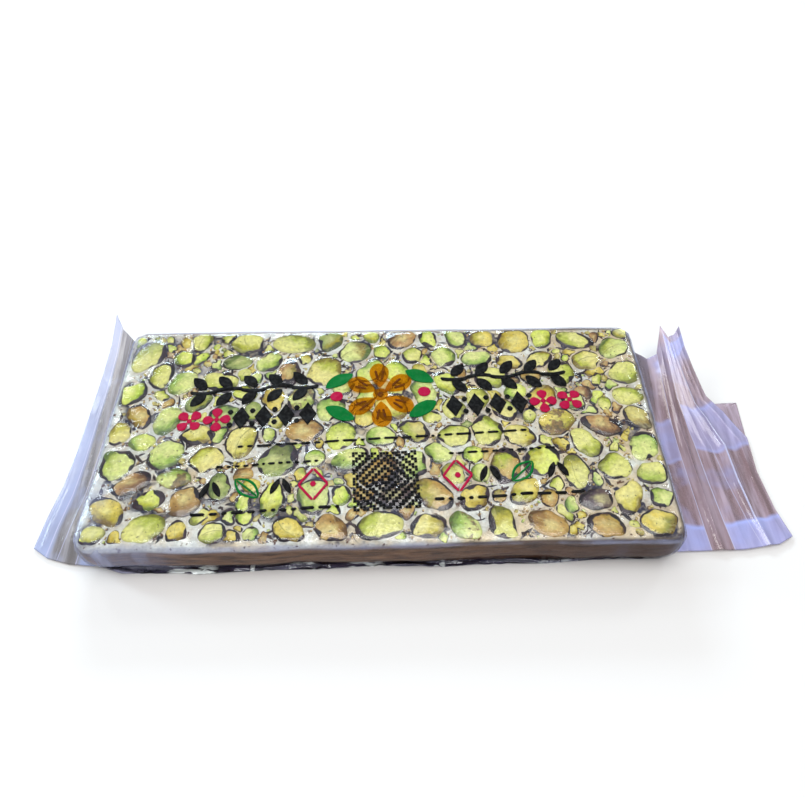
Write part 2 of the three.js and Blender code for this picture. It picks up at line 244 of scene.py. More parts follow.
# middle, half length, half width, turn in degrees, notch and colouring of those that stand out
standOuts = [
    (-76.7, -20.7, 8.6, 4, 24, 0, "brownSkin"), (-82, 30, 8, 5.6, 58, 0, "pale"),
    (-50.2, 27.4, 5.8, 3.3, 10, 0, "deepGreen"), (-54.9, 18.6, 6.7, 4.3, -12, 0, "pale"),
    (-68, 18.2, 5.5, 4.4, 45, 0, "green"), (-70, 2.5, 6, 4.3, 65, 0, "green"),
    (-68.1, -10.4, 6.2, 5, 35, 0, "green"), (-69.5, -35.4, 6.6, 4.6, 20, 0, "pale"),
    (-59, -27.2, 5.3, 5, 60, 0, "tan"), (-0.9, -35.6, 8.4, 4.6, 20, 0, "pale"),
    (-1.1, -17.8, 8, 4.5, 25, 0, "tan"), (3.4, -26.6, 6.2, 3.3, 24, 0, "mauveSkin"),
    (-32, 35.2, 8.8, 4.6, 0, 0, "pale"), (-25.2, -1.4, 6.8, 4.6, 8, 0, "tan"),
    (82.6, -9.7, 7.4, 4.6, 64, 0, "green"), (70, -1.3, 7.6, 3.6, -14, 0, "brownSkin"),
    (67.7, 35.4, 8, 4, -16, 0, "pale"), (48, -35.4, 7, 4.1, -22, 0, "tan"),
    (81.5, 10.4, 5, 4.4, -10, 0.35, "pale"), (64, -28.2, 6, 3.9, 5, 0, "mauveSkin"),
    (32.3, 27.4, 5.4, 3.8, 0, 0.35, "green"),
]
wholeStandOuts = (0, 8, 11, 15, 19)


def shaped(random, kind, **facts):
    # a kernel's record, with lumps and perhaps a notch round its outline, and how high it stands
    lumps = [(waves, kernels["lump"] * random(), random() * tau) for waves in (2, 3, 4, 5)]
    notchAt = random() * tau
    notched, deepest, _ = kernels["notch"]
    notchDepth = deepest * random() if random() < notched else 0
    height = mix(*kernels["height"][kind], random())
    return dict(facts, kind=kind, lumps=lumps, notchAt=notchAt, notchDepth=notchDepth, height=height)


def standOutKernel(random, index):
    x, y, long, wide, turn, notch, colouring = standOuts[index]
    kind = "whole" if index in wholeStandOuts else "cut"
    kernel = shaped(random, kind, x=x, y=y, long=long, wide=wide, turn=radians(turn),
                    fixed=True, colouring=colouring)
    if notch:
        kernel.update(notchAt=pi / 2, notchDepth=notch)
    return kernel


def commonKernel(random, x, y):
    draw, size, stretch, turn = draws(random, 4)
    kind = "sliver" if draw > 1 - kernels["sliver"] else "whole" if draw < kernels["whole"] else "cut"
    long = mix(*kernels["halfLength"][kind], size)
    wide = long * mix(*kernels["widthShare"][kind], stretch)
    return shaped(random, kind, x=x, y=y, long=long, wide=wide, turn=turn * pi, fixed=False, colouring=None)


def reachOf(kernel, angle):
    c = np.cos(angle - kernel["turn"]) / kernel["long"]
    s = np.sin(angle - kernel["turn"]) / kernel["wide"]
    return 1 / np.hypot(c, s)


def crowding(one, other):
    dx, dy = other["x"] - one["x"], other["y"] - one["y"]
    apart = hypot(dx, dy)
    if apart > kernels["near"]:
        return 0, dx, dy, apart
    angle = atan2(dy, dx)
    return reachOf(one, angle) + reachOf(other, angle) + kernels["gap"] - apart, dx, dy, apart


def scatterKernels(random):
    laid = [standOutKernel(random, index) for index in range(len(standOuts))]
    fixed = list(laid)
    cellX = 2 * fieldX / kernels["columns"]
    cellY = 2 * fieldY / kernels["rows"]
    for row in range(kernels["rows"]):
        for column in range(kernels["columns"]):
            shift = 0.25 if row % 2 else -0.25
            offX, offY, bare = draws(random, 3)
            x = (column + 0.5 + shift + (offX - 0.5) * 2 * kernels["jitter"]) * cellX - fieldX
            y = (row + 0.5 + (offY - 0.5) * 2 * kernels["jitter"]) * cellY - fieldY
            kernel = commonKernel(random, x, y)
            taken = any(
                hypot(k["x"] - x, k["y"] - y) < 1.15 * reachOf(k, atan2(y - k["y"], x - k["x"]))
                for k in fixed
            )
            if bare >= kernels["bare"] and not taken:
                laid.append(kernel)
    return laid


def layKernels():
    laid = scatterKernels(randomStream(kernels["seed"]))
    near = kernels["near"]
    for _ in range(kernels["relaxSteps"]):
        moves = [[0, 0] for _ in laid]
        for i, one in enumerate(laid):
            for j in range(i + 1, len(laid)):
                if abs(laid[j]["x"] - one["x"]) > near or abs(laid[j]["y"] - one["y"]) > near:
                    continue
                short, dx, dy, apart = crowding(one, laid[j])
                if short > 0:
                    push = kernels["push"] * short / apart
                    for k, way in ((i, -1), (j, 1)):
                        moves[k][0] += way * push * dx
                        moves[k][1] += way * push * dy
        for kernel, move in zip(laid, moves):
            for axis, field, step in zip("xy", (fieldX, fieldY), move):
                room = field - kernels["spacing"] * kernel["wide"]
                if not kernel["fixed"]:
                    kernel[axis] = min(room, max(-room, kernel[axis] + step))
    return laid


outlineAngles = np.arange(kernels["outlinePoints"]) / kernels["outlinePoints"] * tau


def soften(reach, times):
    for _ in range(times):
        reach = (np.roll(reach, 1) + 2 * reach + np.roll(reach, -1)) / 4
    return reach


def cutOff(reach, distance, facing, grazing=0.08):
    # keeps an outline on this side of a straight line at some distance, where it faces the line
    return np.minimum(reach, np.where(facing > grazing, distance / np.maximum(facing, grazing), np.inf))


def outlineOf(kernel, laid):
    local = outlineAngles - kernel["turn"]
    reach = reachOf(kernel, outlineAngles)
    for waves, size, phase in kernel["lumps"]:
        reach = reach * (1 + size * np.cos(waves * local + phase))
    notchWidth = kernels["notch"][2]
    reach = reach * (1 - kernel["notchDepth"] * mound(angleTo(local, kernel["notchAt"]), notchWidth))
    for other in laid:
        short, dx, dy, apart = crowding(kernel, other)
        if other is not kernel and short > 0:
            towards = atan2(dy, dx)
            mine, theirs = reachOf(kernel, towards), reachOf(other, towards)
            middle = apart * mine / (mine + theirs) - kernels["gap"] / 2
            reach = cutOff(reach, middle, np.cos(outlineAngles - towards))
    for at, room, facing in ((kernel["x"], fieldX, np.cos), (kernel["y"], fieldY, np.sin)):
        reach = cutOff(reach, room - at, facing(outlineAngles))
        reach = cutOff(reach, room + at, -facing(outlineAngles))
    return soften(np.maximum(reach, kernels["least"]), 2)


laidKernels = layKernels()
for kernel in laidKernels:
    kernel["outline"] = soften(outlineOf(kernel, laidKernels), kernels["rounding"]) + kernels["skinRoom"]
print("kernels laid:", len(laidKernels))


# the relief that the film takes over the kernels

relief = {
    "cell": 0.5, "halfX": 92, "halfY": 46, "sagCells": 2.8, "sagShare": 1.1, "lift": 0.06, "softCells": 0.7,
    "kernelRoom": 11,  # how far round its middle a kernel is drawn
    "near": (0.1, 1.6, 2.2),  # height that counts as kernel, cells that its nearness reaches, and its gain
}
fillers = {
    "seed": 63, "tries": 1400, "reach": 4.8, "least": 0.85, "gap": 0.25, "size": (1.6, 4.4),
    "height": (0.16, 0.32), "step": 0.3, "blockedFrom": 0.06,
}
puckers = {
    "seed": 7, "reach": 14, "height": 0.52, "halfWidth": (0.32, 0.9), "halfLength": 2.4, "room": 8,
    "onWay": (0.35, 0.65), "swing": 1.1,
    # share of the neighbours joined by one: everywhere, and where they gather
    "share": 0.28, "gathered": 0.9, "middle": (-36, -8), "spread": 28,
}
mapX = np.arange(-relief["halfX"], relief["halfX"] + relief["cell"], relief["cell"])
mapY = np.arange(-relief["halfY"], relief["halfY"] + relief["cell"], relief["cell"])


def crown(kernel, rho):
    # height over the nougat at a share rho of the way to the outline
    if kernel["kind"] == "whole":
        return kernel["height"] * np.sqrt(np.clip(1 - (0.98 * rho) ** 2, 0, 1))
    return kernel["height"] * (1 - smoothStep(0.8, 1.02, rho))


def nearby(x, y, reach):
    # the part of the map round a point, and its offsets from it
    columns = slice(*np.searchsorted(mapX, (x - reach, x + reach)))
    rows = slice(*np.searchsorted(mapY, (y - reach, y + reach)))
    offX, offY = np.meshgrid(mapX[columns] - x, mapY[rows] - y)
    return rows, columns, offX, offY


def blur(heights, cells):
    size = int(cells * 3) + 1
    weights = np.exp(-0.5 * (np.arange(-size, size + 1) / cells) ** 2)
    weights /= weights.sum()
    for axis in (0, 1):
        shifted = zip(range(-size, size + 1), weights)
        heights = sum(weight * np.roll(heights, shift, axis) for shift, weight in shifted)
    return heights


def readMap(heights, x, y):
    column = np.clip((x + relief["halfX"]) / relief["cell"], 0, len(mapX) - 1.001)
    row = np.clip((y + relief["halfY"]) / relief["cell"], 0, len(mapY) - 1.001)
    c, r = column.astype(int), row.astype(int)
    fc, fr = column - c, row - r
    low = heights[r, c] * (1 - fc) + heights[r, c + 1] * fc
    high = heights[r + 1, c] * (1 - fc) + heights[r + 1, c + 1] * fc
    return low * (1 - fr) + high * fr


def raiseCrown(heights, kernel):
    rows, columns, offX, offY = nearby(kernel["x"], kernel["y"], relief["kernelRoom"])
    angle = np.mod(np.arctan2(offY, offX), tau)
    reach = np.interp(angle, outlineAngles, kernel["outline"], period=tau)
    rho = np.hypot(offX, offY) / reach
    heights[rows, columns] = np.maximum(heights[rows, columns], crown(kernel, rho))


def clearanceRound(heights, x, y):
    # how far it is to the next kernel, in each direction of an outline
    steps = np.arange(fillers["step"], fillers["reach"] + fillers["step"], fillers["step"])
    xs = x + np.outer(np.cos(outlineAngles), steps)
    ys = y + np.outer(np.sin(outlineAngles), steps)
    outside = (np.abs(xs) > fieldX) | (np.abs(ys) > fieldY)
    blocked = (readMap(heights, xs, ys) > fillers["blockedFrom"]) | outside
    blocked[:, -1] = True
    return steps[np.argmax(blocked, axis=1)]


def fillGaps(heights):
    # broken pieces that fit the gaps between the kernels, each shaped by the room it has
    random = randomStream(fillers["seed"])
    laid = []
    for _ in range(fillers["tries"]):
        x, y = mix(-1, 1, random()) * fieldX, mix(-1, 1, random()) * fieldY
        cap, stretch, turn = mix(*fillers["size"], random()), mix(0.5, 1, random()), random() * pi
        room = clearanceRound(heights, x, y)
        if room.min() < fillers["least"]:
            continue
        kernel = shaped(random, "sliver", x=x, y=y, long=cap, wide=cap * stretch, turn=turn,
                        fixed=True, colouring=None)
        kernel["height"] = mix(*fillers["height"], random())
        kernel["outline"] = soften(np.minimum(room - fillers["gap"], reachOf(kernel, outlineAngles)), 2)
        raiseCrown(heights, kernel)
        laid.append(kernel)
    return laid


def addPuckers(heights):
    # short tight ridges where the film is strung between two kernels, most of them left of the middle
    random = randomStream(puckers["seed"])
    gatherX, gatherY = puckers["middle"]
    for i, one in enumerate(laidKernels):
        for other in laidKernels[i + 1:]:
            dx, dy = other["x"] - one["x"], other["y"] - one["y"]
            apart = hypot(dx, dy)
            if apart > puckers["reach"]:
                continue
            chance, size, slide, swing, breadth = draws(random, 5)
            onWay = mix(*puckers["onWay"], slide)
            middleX, middleY = one["x"] + dx * onWay, one["y"] + dy * onWay
            away = hypot(middleX - gatherX, middleY - gatherY) / puckers["spread"]
            if chance > mix(puckers["share"], puckers["gathered"], mound(away)):
                continue
            rows, columns, offX, offY = nearby(middleX, middleY, puckers["room"])
            along, across = turned(offX, offY, -atan2(dy, dx) - (swing - 0.5) * puckers["swing"])
            halfWidth = mix(*puckers["halfWidth"], breadth ** 2)
            ridge = mound(along, puckers["halfLength"]) * mound(across, halfWidth)
            heights[rows, columns] += puckers["height"] * size * ridge
    return heights


crownMap = np.zeros((len(mapY), len(mapX)))
for kernel in laidKernels:
    raiseCrown(crownMap, kernel)
fillerKernels = fillGaps(crownMap)
print("broken pieces between them:", len(fillerKernels))
sagMap = np.maximum(crownMap, relief["sagShare"] * blur(crownMap, relief["sagCells"]))
filmMap = addPuckers(blur(sagMap, relief["softCells"])) + relief["lift"]
least, cells, gain = relief["near"]
nearMap = np.clip(gain * blur((crownMap > least).astype(float), cells), 0, 1)


def filmTop(x, y):
    return bar["height"] + readMap(filmMap, x, y)


# materials: each function below adds nodes to the material that was started last

started = {}


class Value:
    # what comes out of a node; sums with it add a node each

    def __init__(self, socket):
        self.socket = socket

    def __add__(self, other):
        return calculate("ADD", self, other)

    def __sub__(self, other):
        return calculate("SUBTRACT", self, other)

    def __rsub__(self, other):
        return calculate("SUBTRACT", other, self)

    def __mul__(self, other):
        return calculate("MULTIPLY", self, other)

    def __rmul__(self, other):
        return calculate("MULTIPLY", other, self)

    def __truediv__(self, other):
        return calculate("DIVIDE", self, other)

    def __abs__(self):
        return calculate("ABSOLUTE", self)


def start(name):
    # a new empty material, and the place on the piece that its patterns hang on
    material = bpy.data.materials.new(name)
    material.use_nodes = True
    material.node_tree.nodes.clear()
    started["material"] = material
    return add("TexCoord", output="Object")


def add(kind, inputs=None, output=0, **settings):
    tree = started["material"].node_tree
    node = tree.nodes.new("ShaderNode" + kind)
    for key, value in settings.items():
        setattr(node, key, value)
    for key, value in (inputs or {}).items():
        if isinstance(value, Value):
            tree.links.new(value.socket, node.inputs[key])
        else:
            node.inputs[key].default_value = value
    return Value(node.outputs[output]) if node.outputs else None


def calculate(operation, a, b=0.0):
    return add("Math", {0: a, 1: b}, operation=operation)


def largest(first, *others):
    for other in others:
        first = calculate("MAXIMUM", first, other)
    return first


def apart(vector):
    return [Value(socket) for socket in add("SeparateXYZ", {0: vector}).socket.node.outputs]


def together(x=0.0, y=0.0, z=0.0):
    return add("CombineXYZ", {0: x, 1: y, 2: z})


def noise(vector, scale, detail, rough=0.55):
    return add("TexNoise", {"Vector": vector, "Scale": scale, "Detail": detail, "Roughness": rough})


def streaked(vector, scale, detail=3.0, rough=0.55, turn=(0, 0, 0)):
    # noise with another scale along each axis
    return noise(add("Mapping", {"Vector": vector, "Rotation": turn, "Scale": scale}), 1, detail, rough)


def ramp(value, low, high, outLow=0.0, outHigh=1.0):
    facts = {"Value": value, "From Min": low, "From Max": high, "To Min": outLow, "To Max": outHigh}
    return add("MapRange", facts, interpolation_type="SMOOTHSTEP")


def blend(share, first, second, way="MIX"):
    return add("Mix", {0: share, 6: first, 7: second}, 2, data_type="RGBA", blend_type=way)


def darken(colour, grey):
    return blend(1.0, colour, together(grey, grey, grey), "MULTIPLY")


def bump(height, distance, strength):
    return add("Bump", {"Height": height, "Distance": distance, "Strength": strength})


def attribute(name, output="Fac"):
    return add("Attribute", output=output, attribute_name=name)


def show(shader):
    add("OutputMaterial", {"Surface": shader})
    return started["material"]


def mixShaders(share, under, over):
    return add("MixShader", {0: share, 1: under, 2: over})


def solid(colour, roughness, normal, **more):
    facts = {"Base Color": colour, "Roughness": roughness, "Normal": normal, **more}
    return add("BsdfPrincipled", facts)


def hazy(tint, haze, share):
    # film that is clear but for a share of haze
    return mixShaders(share, add("BsdfTransparent", {"Color": tint}), add("BsdfDiffuse", {"Color": haze}))


def glossOver(under, roughness, index, normal, shiny=1.0):
    reflected = add("Fresnel", {"IOR": index, "Normal": normal}) * shiny
    return mixShaders(reflected, under, add("BsdfGlossy", {"Roughness": roughness, "Normal": normal}))


nougatFinish = {
    "white": rgb(244, 248, 242), "cream": rgb(241, 227, 195), "shade": rgb(212, 200, 182),
    "fleck": rgb(104, 74, 52), "sideBrown": rgb(114, 83, 59), "sideBrownDark": rgb(60, 42, 33),
    "sideBrownPale": rgb(140, 108, 82), "stainAndShade": rgb(186, 156, 118), "pocketShadow": rgb(50, 52, 76),
    "sideBrownRight": rgb(58, 33, 25), "roughness": 0.6,
    "climbs": (-0.05, 0.07, 0.013, 0.0143),  # from and to along the bar, and the height that the brown side reaches there
}


def makeNougatMaterial():
    look = nougatFinish
    here = start("nougatMass")
    x, y, z = apart(here)
    drift = x * 0.9
    top = blend(ramp(noise(here, 110, 4) + drift, 0.42, 0.64), look["white"], look["cream"])
    top = blend(ramp(noise(here, 60, 2), 0.5, 0.72, 0, 0.24), top, look["shade"])
    # brown stain and painted shade close round the kernels
    near = attribute("nearKernel")
    top = blend(near * ramp(noise(here, 380, 4), 0.4, 0.62), top, look["stainAndShade"])
    # painted shadow in dark pockets where the film bridges a gap
    pocketShadows = near * ramp(noise(here, 105, 3) - drift * 0.45, 0.565, 0.6)
    top = blend(pocketShadows * ramp(noise(here, 700, 3), 0.3, 0.6, 1.8, 3.0), top, look["pocketShadow"])
    grains = ramp(noise(here, 1500, 3, 0.7), 0.35, 0.6, 0.84, 1.0)
    top = darken(top, grains * ramp(noise(here, 420, 4, 0.65), 0.36, 0.6, 0.86, 1.06))
    top = blend(ramp(noise(here, 640, 3, 0.5), 0.62, 0.67), top, look["fleck"])
    # the sides: brown, streaked along their length, a painted reflection of wood grain in the film over them
    # and painted shade; darker and redder towards the right end
    streaks = noise(together((x + y) * 0.16, 0.0, z), 620, 4, 0.6)
    side = blend(ramp(streaks, 0.34, 0.56), look["sideBrownDark"], look["sideBrown"])
    side = blend(ramp(streaks, 0.56, 0.7), side, look["sideBrownPale"])
    side = blend(ramp(x, 0.0, 0.08, 0, 0.8), side, look["sideBrownRight"])
    # the sides' pale brown as a thin broken line along the back edge of the top
    backEdge = ramp(y, 0.0402, 0.041) * ramp(streaks, 0.4, 0.6, 0.25, 0.8)
    top = blend(backEdge, top, look["sideBrownPale"])
    isTop = ramp(z - ramp(x, *look["climbs"]), -0.0004, 0.0006)
    normal = bump(noise(here, 420, 5) + streaks * 0.6, 0.0004, 0.7)
    return show(solid(blend(isTop, side, top), look["roughness"], normal, **{"Specular IOR Level": 0.25}))


kernelFinish = {
    "skinDark": rgb(24, 19, 32), "skinWarm": rgb(60, 42, 52), "speck": rgb(64, 52, 42),
    "milk": rgb(240, 238, 172), "brown": rgb(138, 104, 70), "darkBrown": rgb(88, 66, 58),
    "groove": rgb(140, 140, 66), "edge": rgb(92, 84, 48), "roughness": 0.42, "veinDepth": 0.0001,
}


def makeKernelMaterial():
    # flesh that runs from cream or gold to green, with fibres along its length and a dark torn skin
    look = kernelFinish
    here = start("pistachioFlesh")
    right, up, seed = apart(attribute("disc", "Vector"))
    skinned, grooved, browned = apart(attribute("facts", "Vector"))
    flat = together(right, up)
    rho = add("VectorMath", {0: flat}, "Value", operation="LENGTH")
    heading = add("VectorMath", {0: flat}, operation="NORMALIZE")
    rays = add("VectorMath", {0: heading, 1: together(z=seed)}, operation="ADD")
    mottle = noise(here, 330, 4)
    uneven = mottle - 0.5
    rimTint = attribute("rimTint", "Color")
    # the green side lies another way round on each kernel
    turn = seed * 1.7
    across = right * calculate("COSINE", turn) + up * calculate("SINE", turn) + uneven * 1.6
    colour = blend(ramp(across, -0.25, 0.6), attribute("faceTint", "Color"), attribute("sideTint", "Color"))
    toRim = rho + uneven * 0.9
    colour = blend(ramp(toRim + across * 0.35, 0.72, -0.1, 0, 0.6), colour, look["milk"])
    # darker and greener towards the rim, most of all on its green side: the rim's own green and painted shade
    colour = blend(ramp(toRim + across * 0.36, 0.72, 1.2, 0, 0.96), colour, rimTint)
    # fibres fan out from one end
    fan = up / (right * 0.45 + 1.3)
    veins = noise(together(right * 1.3, fan * 5, seed), 1.0, 4, 0.62)
    colour = blend(ramp(veins, 0.54, 0.72, 0, 0.24), colour, rimTint, "MULTIPLY")
    colour = blend(ramp(veins, 0.48, 0.34, 0, 0.3), colour, look["milk"])
    offLine = abs(up + right * right * 0.35 - 0.15) + uneven * 0.12
    line = ramp(offLine, 0.05, 0.0) * grooved
    colour = blend(line, colour, look["groove"])
    brown = blend(ramp(noise(here, 700, 3), 0.45, 0.6), look["brown"], look["darkBrown"])
    torn = noise(here, 210, 5, 0.65) + (browned - 0.5)
    colour = blend(ramp(torn, 0.5, 0.58, 0, 0.85), colour, brown)
    colour = darken(colour, ramp(noise(here, 900, 3, 0.6), 0.38, 0.62, 0.86, 1.06))
    colour = blend(ramp(noise(here, 1300, 2, 0.3), 0.69, 0.73, 0, 0.8), colour, look["speck"])
    # a thin painted shade along the edge all round, and the dark skin along part of it, wider on one side
    frayed = (noise(here, 1100, 3) - 0.5) * 0.1
    colour = blend(ramp(rho + frayed * 0.5, 0.93, 1.0, 0, 0.36), colour, look["edge"])
    inset = ramp(noise(rays, 0.75, 1), 0.4, 0.62) * skinned
    inSkin = ramp(rho + frayed + inset * 0.28, 0.97, 1.03) * ramp(inset, 0.05, 0.2)
    skin = blend(ramp(mottle, 0.42, 0.62), look["skinDark"], look["skinWarm"])
    normal = bump(veins - line + mottle * 0.8, look["veinDepth"], 0.7)
    return show(solid(blend(inSkin, colour, skin), look["roughness"], normal))


skinFinish = {"dark": rgb(22, 20, 36), "warm": rgb(74, 52, 48), "roughness": 0.4}


def makeSkinMaterial():
    look = skinFinish
    here = start("nutSkin")
    colour = blend(ramp(noise(here, 260, 3), 0.42, 0.62), look["dark"], look["warm"])
    return show(solid(colour, look["roughness"], bump(noise(here, 1400, 3), 0.0001, 0.8)))


filmFinish = {
    "tint": (0.965, 0.965, 0.985, 1), "haze": rgb(162, 168, 200), "gloss": 0.06, "index": 1.53,
    "edgeHazeAndSheen": 0.42, "patchHazeAndSheen": 0.2, "edgeX": 0.0876, "edgeY": 0.0408,
}


def makeFilmMaterial():
    # clear tight film: what shows through, a little milky haze with a painted lavender sheen at the rounded
    # edges and in patches, and gloss
    look = filmFinish
    here = start("tightFilm")
    x, y, z = apart(here)
    over = largest(abs(x) - look["edgeX"], abs(y) - look["edgeY"]) + (noise(here, 170, 3) - 0.5) * 0.0022
    # milky haze with a painted lavender sheen along the rounded top edges
    edgeMilkAndSheen = ramp(over, -0.0002, 0.0008) * ramp(z, 0.0129, 0.0137) * look["edgeHazeAndSheen"]
    edgeMilkAndSheen = edgeMilkAndSheen * ramp(streaked(here, (120, 420, 420), 4), 0.32, 0.62, 0.45, 1.0)
    # milky haze with a painted lavender sheen in patches between the kernels, less towards the right
    patchMilkAndSheen = ramp(noise(here, 75, 4), 0.44, 0.7, 0.0, look["patchHazeAndSheen"]) * attribute("gap")
    patchMilkAndSheen = patchMilkAndSheen * ramp(x, -0.02, 0.08, 1.0, 0.5)
    milk = attribute("milk") * ramp(streaked(here, (420, 420, 45)), 0.34, 0.64, 0.5, 1.0)
    share = calculate("MINIMUM", largest(edgeMilkAndSheen, patchMilkAndSheen, milk), 0.8)
    # the sides lie dull, pressed into the crumbly nougat
    shiny = ramp(z, 0.0118, 0.0136, 0.35, 1.0)
    normal = bump(noise(here, 480, 4), 0.00035, 0.5)
    shown = hazy(look["tint"], look["haze"], share)
    return show(glossOver(shown, look["gloss"], look["index"], normal, shiny))


finFinish = {
    # what shows through, the milky colour of each side of the film, and how much of it
    "panel": {"tint": (0.86, 0.81, 0.83, 1), "haze": rgb(202, 182, 200), "share": (0.46, 0.58),
              "dark": rgb(156, 128, 134), "gloss": 0.12},
    "leftPanel": {"tint": (0.8, 0.79, 0.8, 1), "haze": rgb(172, 168, 176), "share": (0.46, 0.62),
                  "dark": rgb(126, 120, 120), "gloss": 0.2},
    # milky bands with a painted lavender sheen, and how much of it
    "bandSheen": {"haze": rgb(180, 190, 254), "share": 0.66},
    "leftBandSheen": {"haze": rgb(184, 194, 236), "share": 0.56},
    # painted shade near the right fin's root
    "root": {"haze": rgb(112, 108, 122), "share": 0.6},
    # painted highlights along the creases
    "crease": {"haze": rgb(208, 208, 242), "share": 0.6},
    "index": 1.6,
    "bandSoft": 0.01,
}
rightFinMarks = {
    # bands along the fin: from and to, how milky, and from where outwards
    "bands": [(-1, 0.115, 1, -1), (0.44, 0.655, 0.72, -1), (0.9, 0.965, 0.8, 0.3)],
    "pleats": [(0.34, 0.52)],
    # place across the fin, lean, half width
    "creases": [(0.34, 0, 0.004), (0.52, 0, 0.005), (0.8, 0.02, 0.008), (0.68, -0.12, 0.003)],
    "rootShade": 0.9,
}
leftFinMarks = {
    "edges": [(-1, 0.26), (0.74, 2)],
    "creases": [(0.3, 0, 0.009), (0.78, 0, 0.012), (0.5, -0.2, 0.006)],
}


def between(value, low, high, soft):
    return ramp(value, low - soft, low + soft) * ramp(value, high + soft, high - soft)


def makeFinMaterial(name, panel, bandSheen, bands=(), pleats=(), edges=(), creases=(), rootShade=0.0):
    # loose film: mauve panels, milky bands across it with a painted lavender sheen, and the painted sheen
    # along its edges
    here = start(name)
    out, along, _ = apart(attribute("sheet", "Vector"))
    along = along + (noise(here, 90, 2) - 0.5) * 0.06
    streaks = streaked(here, (300, 30, 60), 4, 0.6)
    cloud = noise(here, 60, 3)
    share = ramp(streaks, 0.34, 0.7, *panel["share"])
    colour = blend(ramp(streaks, 0.32, 0.68), panel["dark"], panel["haze"])
    # cloudy patches of the bands' painted lavender sheen
    colour = blend(ramp(cloud, 0.5, 0.68, 0, 0.5), colour, bandSheen["haze"])
    soft = finFinish["bandSoft"]
    # milky film with a painted lavender sheen: in bands, and along the edges
    milky = 0.0
    for low, high, much, outFrom in bands:
        # denser along the two sides of the band, where the film is sealed
        dense = 1.0 - between(along, low + 0.016, high - 0.016, soft) * 0.28
        strip = between(along, low, high, soft) * dense * much
        milky = largest(milky, strip * ramp(out, outFrom - 0.06, outFrom + 0.06))
    # across each pleat no milky band, and painted shade in the panel's dark colour
    for low, high in pleats:
        pleat = between(out, low, high, 0.006)
        milky = milky * (1.0 - pleat)
        colour = blend(pleat * 0.4, colour, panel["dark"])
    for low, high in edges:
        milky = largest(milky, between(out, low, high, 0.05))
    # painted highlights along the creases
    creaseHighlights = 0.0
    for at, lean, width in creases:
        off = abs(out - (along - 0.5) * lean - at)
        creaseHighlights = largest(creaseHighlights, ramp(off, width, width * 0.3))
    # painted shade, dull and grey, where it leaves the bar towards the back
    rootShadeMask = ramp(out, 0.3, 0.1) * ramp(along, 0.62, 0.8, 0, rootShade)
    milky = milky * ramp(cloud, 0.3, 0.62, 0.72, 1.0)
    for where, veil in ((milky, bandSheen), (creaseHighlights, finFinish["crease"]), (rootShadeMask, finFinish["root"])):
        share = add("Mix", {0: where, 2: share, 3: veil["share"]}, data_type="FLOAT")
        colour = blend(where, colour, veil["haze"])
    normal = bump(noise(here, 160, 3), 0.0003, 0.4)
    return show(glossOver(hazy(panel["tint"], colour, share), panel["gloss"], finFinish["index"], normal))


hemFinish = {
    # dark tint and haze: painted shade under the bar's foot and a painted dark reflection in the film
    "tint": (0.34, 0.33, 0.44, 1), "haze": rgb(96, 92, 128), "share": (0.05, 0.4),
    "gloss": 0.08, "index": 1.9,
    "endTint": (0.82, 0.82, 0.9, 1), "endHaze": rgb(176, 176, 206), "endAt": (-0.078, -0.066),
    # bright glints along it: place, half width, share
    "glint": rgb(246, 255, 255),
    "glints": [(-0.0575, 0.0085, 1.0), (-0.0395, 0.0008, 0.8), (-0.0245, 0.0045, 1.0), (-0.005, 0.006, 0.9),
               (0.017, 0.002, 0.6), (0.052, 0.006, 0.3)],
}


def makeHemMaterial():
    look = hemFinish
    here = start("hemFilm")
    x = apart(here)[0]
    share = ramp(streaked(here, (90, 400, 400), 4), 0.4, 0.65, *look["share"])
    inner = ramp(x, *look["endAt"])
    tint = blend(inner, look["endTint"], look["tint"])
    shown = hazy(tint, blend(inner, look["endHaze"], look["haze"]), share)
    bright = 0.0
    for at, halfWidth, much in look["glints"]:
        bright = largest(bright, ramp(abs(x - at), halfWidth, halfWidth * 0.6, 0, much))
    bright = bright * ramp(streaked(here, (110, 900, 900), 2, turn=(0, 0.12, 0)), 0.45, 0.52)
    shown = mixShaders(bright, shown, add("BsdfDiffuse", {"Color": look["glint"]}))
    return show(glossOver(shown, look["gloss"], look["index"], bump(noise(here, 260, 4), 0.0008, 0.8)))


inks = {
    # ink, and the share that shows through it with its tint
    "black": (rgb(5, 5, 6), 0.0, (0, 0, 0, 1)),
    "magenta": (rgb(164, 12, 60), 0.2, (0.8, 0.1, 0.25, 1)),
    "ochre": (rgb(176, 112, 10), 0.86, (0.95, 0.76, 0.3, 1)),
    "green": (rgb(0, 112, 48), 0.35, (0.06, 0.55, 0.16, 1)),
    "brown": (rgb(84, 40, 12), 0.25, (0.3, 0.12, 0.03, 1)),
}


def makeInkMaterial(name):
    colour, seeThrough, tint = inks[name]
    grain = noise(start(name + "Ink"), 900, 3)
    colour = blend(ramp(grain, 0.4, 0.7, 0, 0.012), colour, (1, 1, 1, 1), "SCREEN")
    ink = solid(colour, 0.5, bump(grain, 0.00002, 0.3), **{"Specular IOR Level": 0.05})
    if seeThrough > 0:
        ink = mixShaders(seeThrough, ink, add("BsdfTransparent", {"Color": tint}))
    return show(ink)


nougatMaterial = makeNougatMaterial()
kernelMaterial = makeKernelMaterial()
skinMaterial = makeSkinMaterial()
filmMaterial = makeFilmMaterial()
rightFilm, leftFilm = (finFinish["panel"], finFinish["bandSheen"]), (finFinish["leftPanel"], finFinish["leftBandSheen"])
finMaterial = makeFinMaterial("finFilm", *rightFilm, **rightFinMarks)
leftFinMaterial = makeFinMaterial("leftFinFilm", *leftFilm, **leftFinMarks)
webMaterial = makeFinMaterial("webFilm", *rightFilm)
hemMaterial = makeHemMaterial()
print("materials ready")


# the slab and the film over it: one flat grid each, wrapped over the bar's top and sides

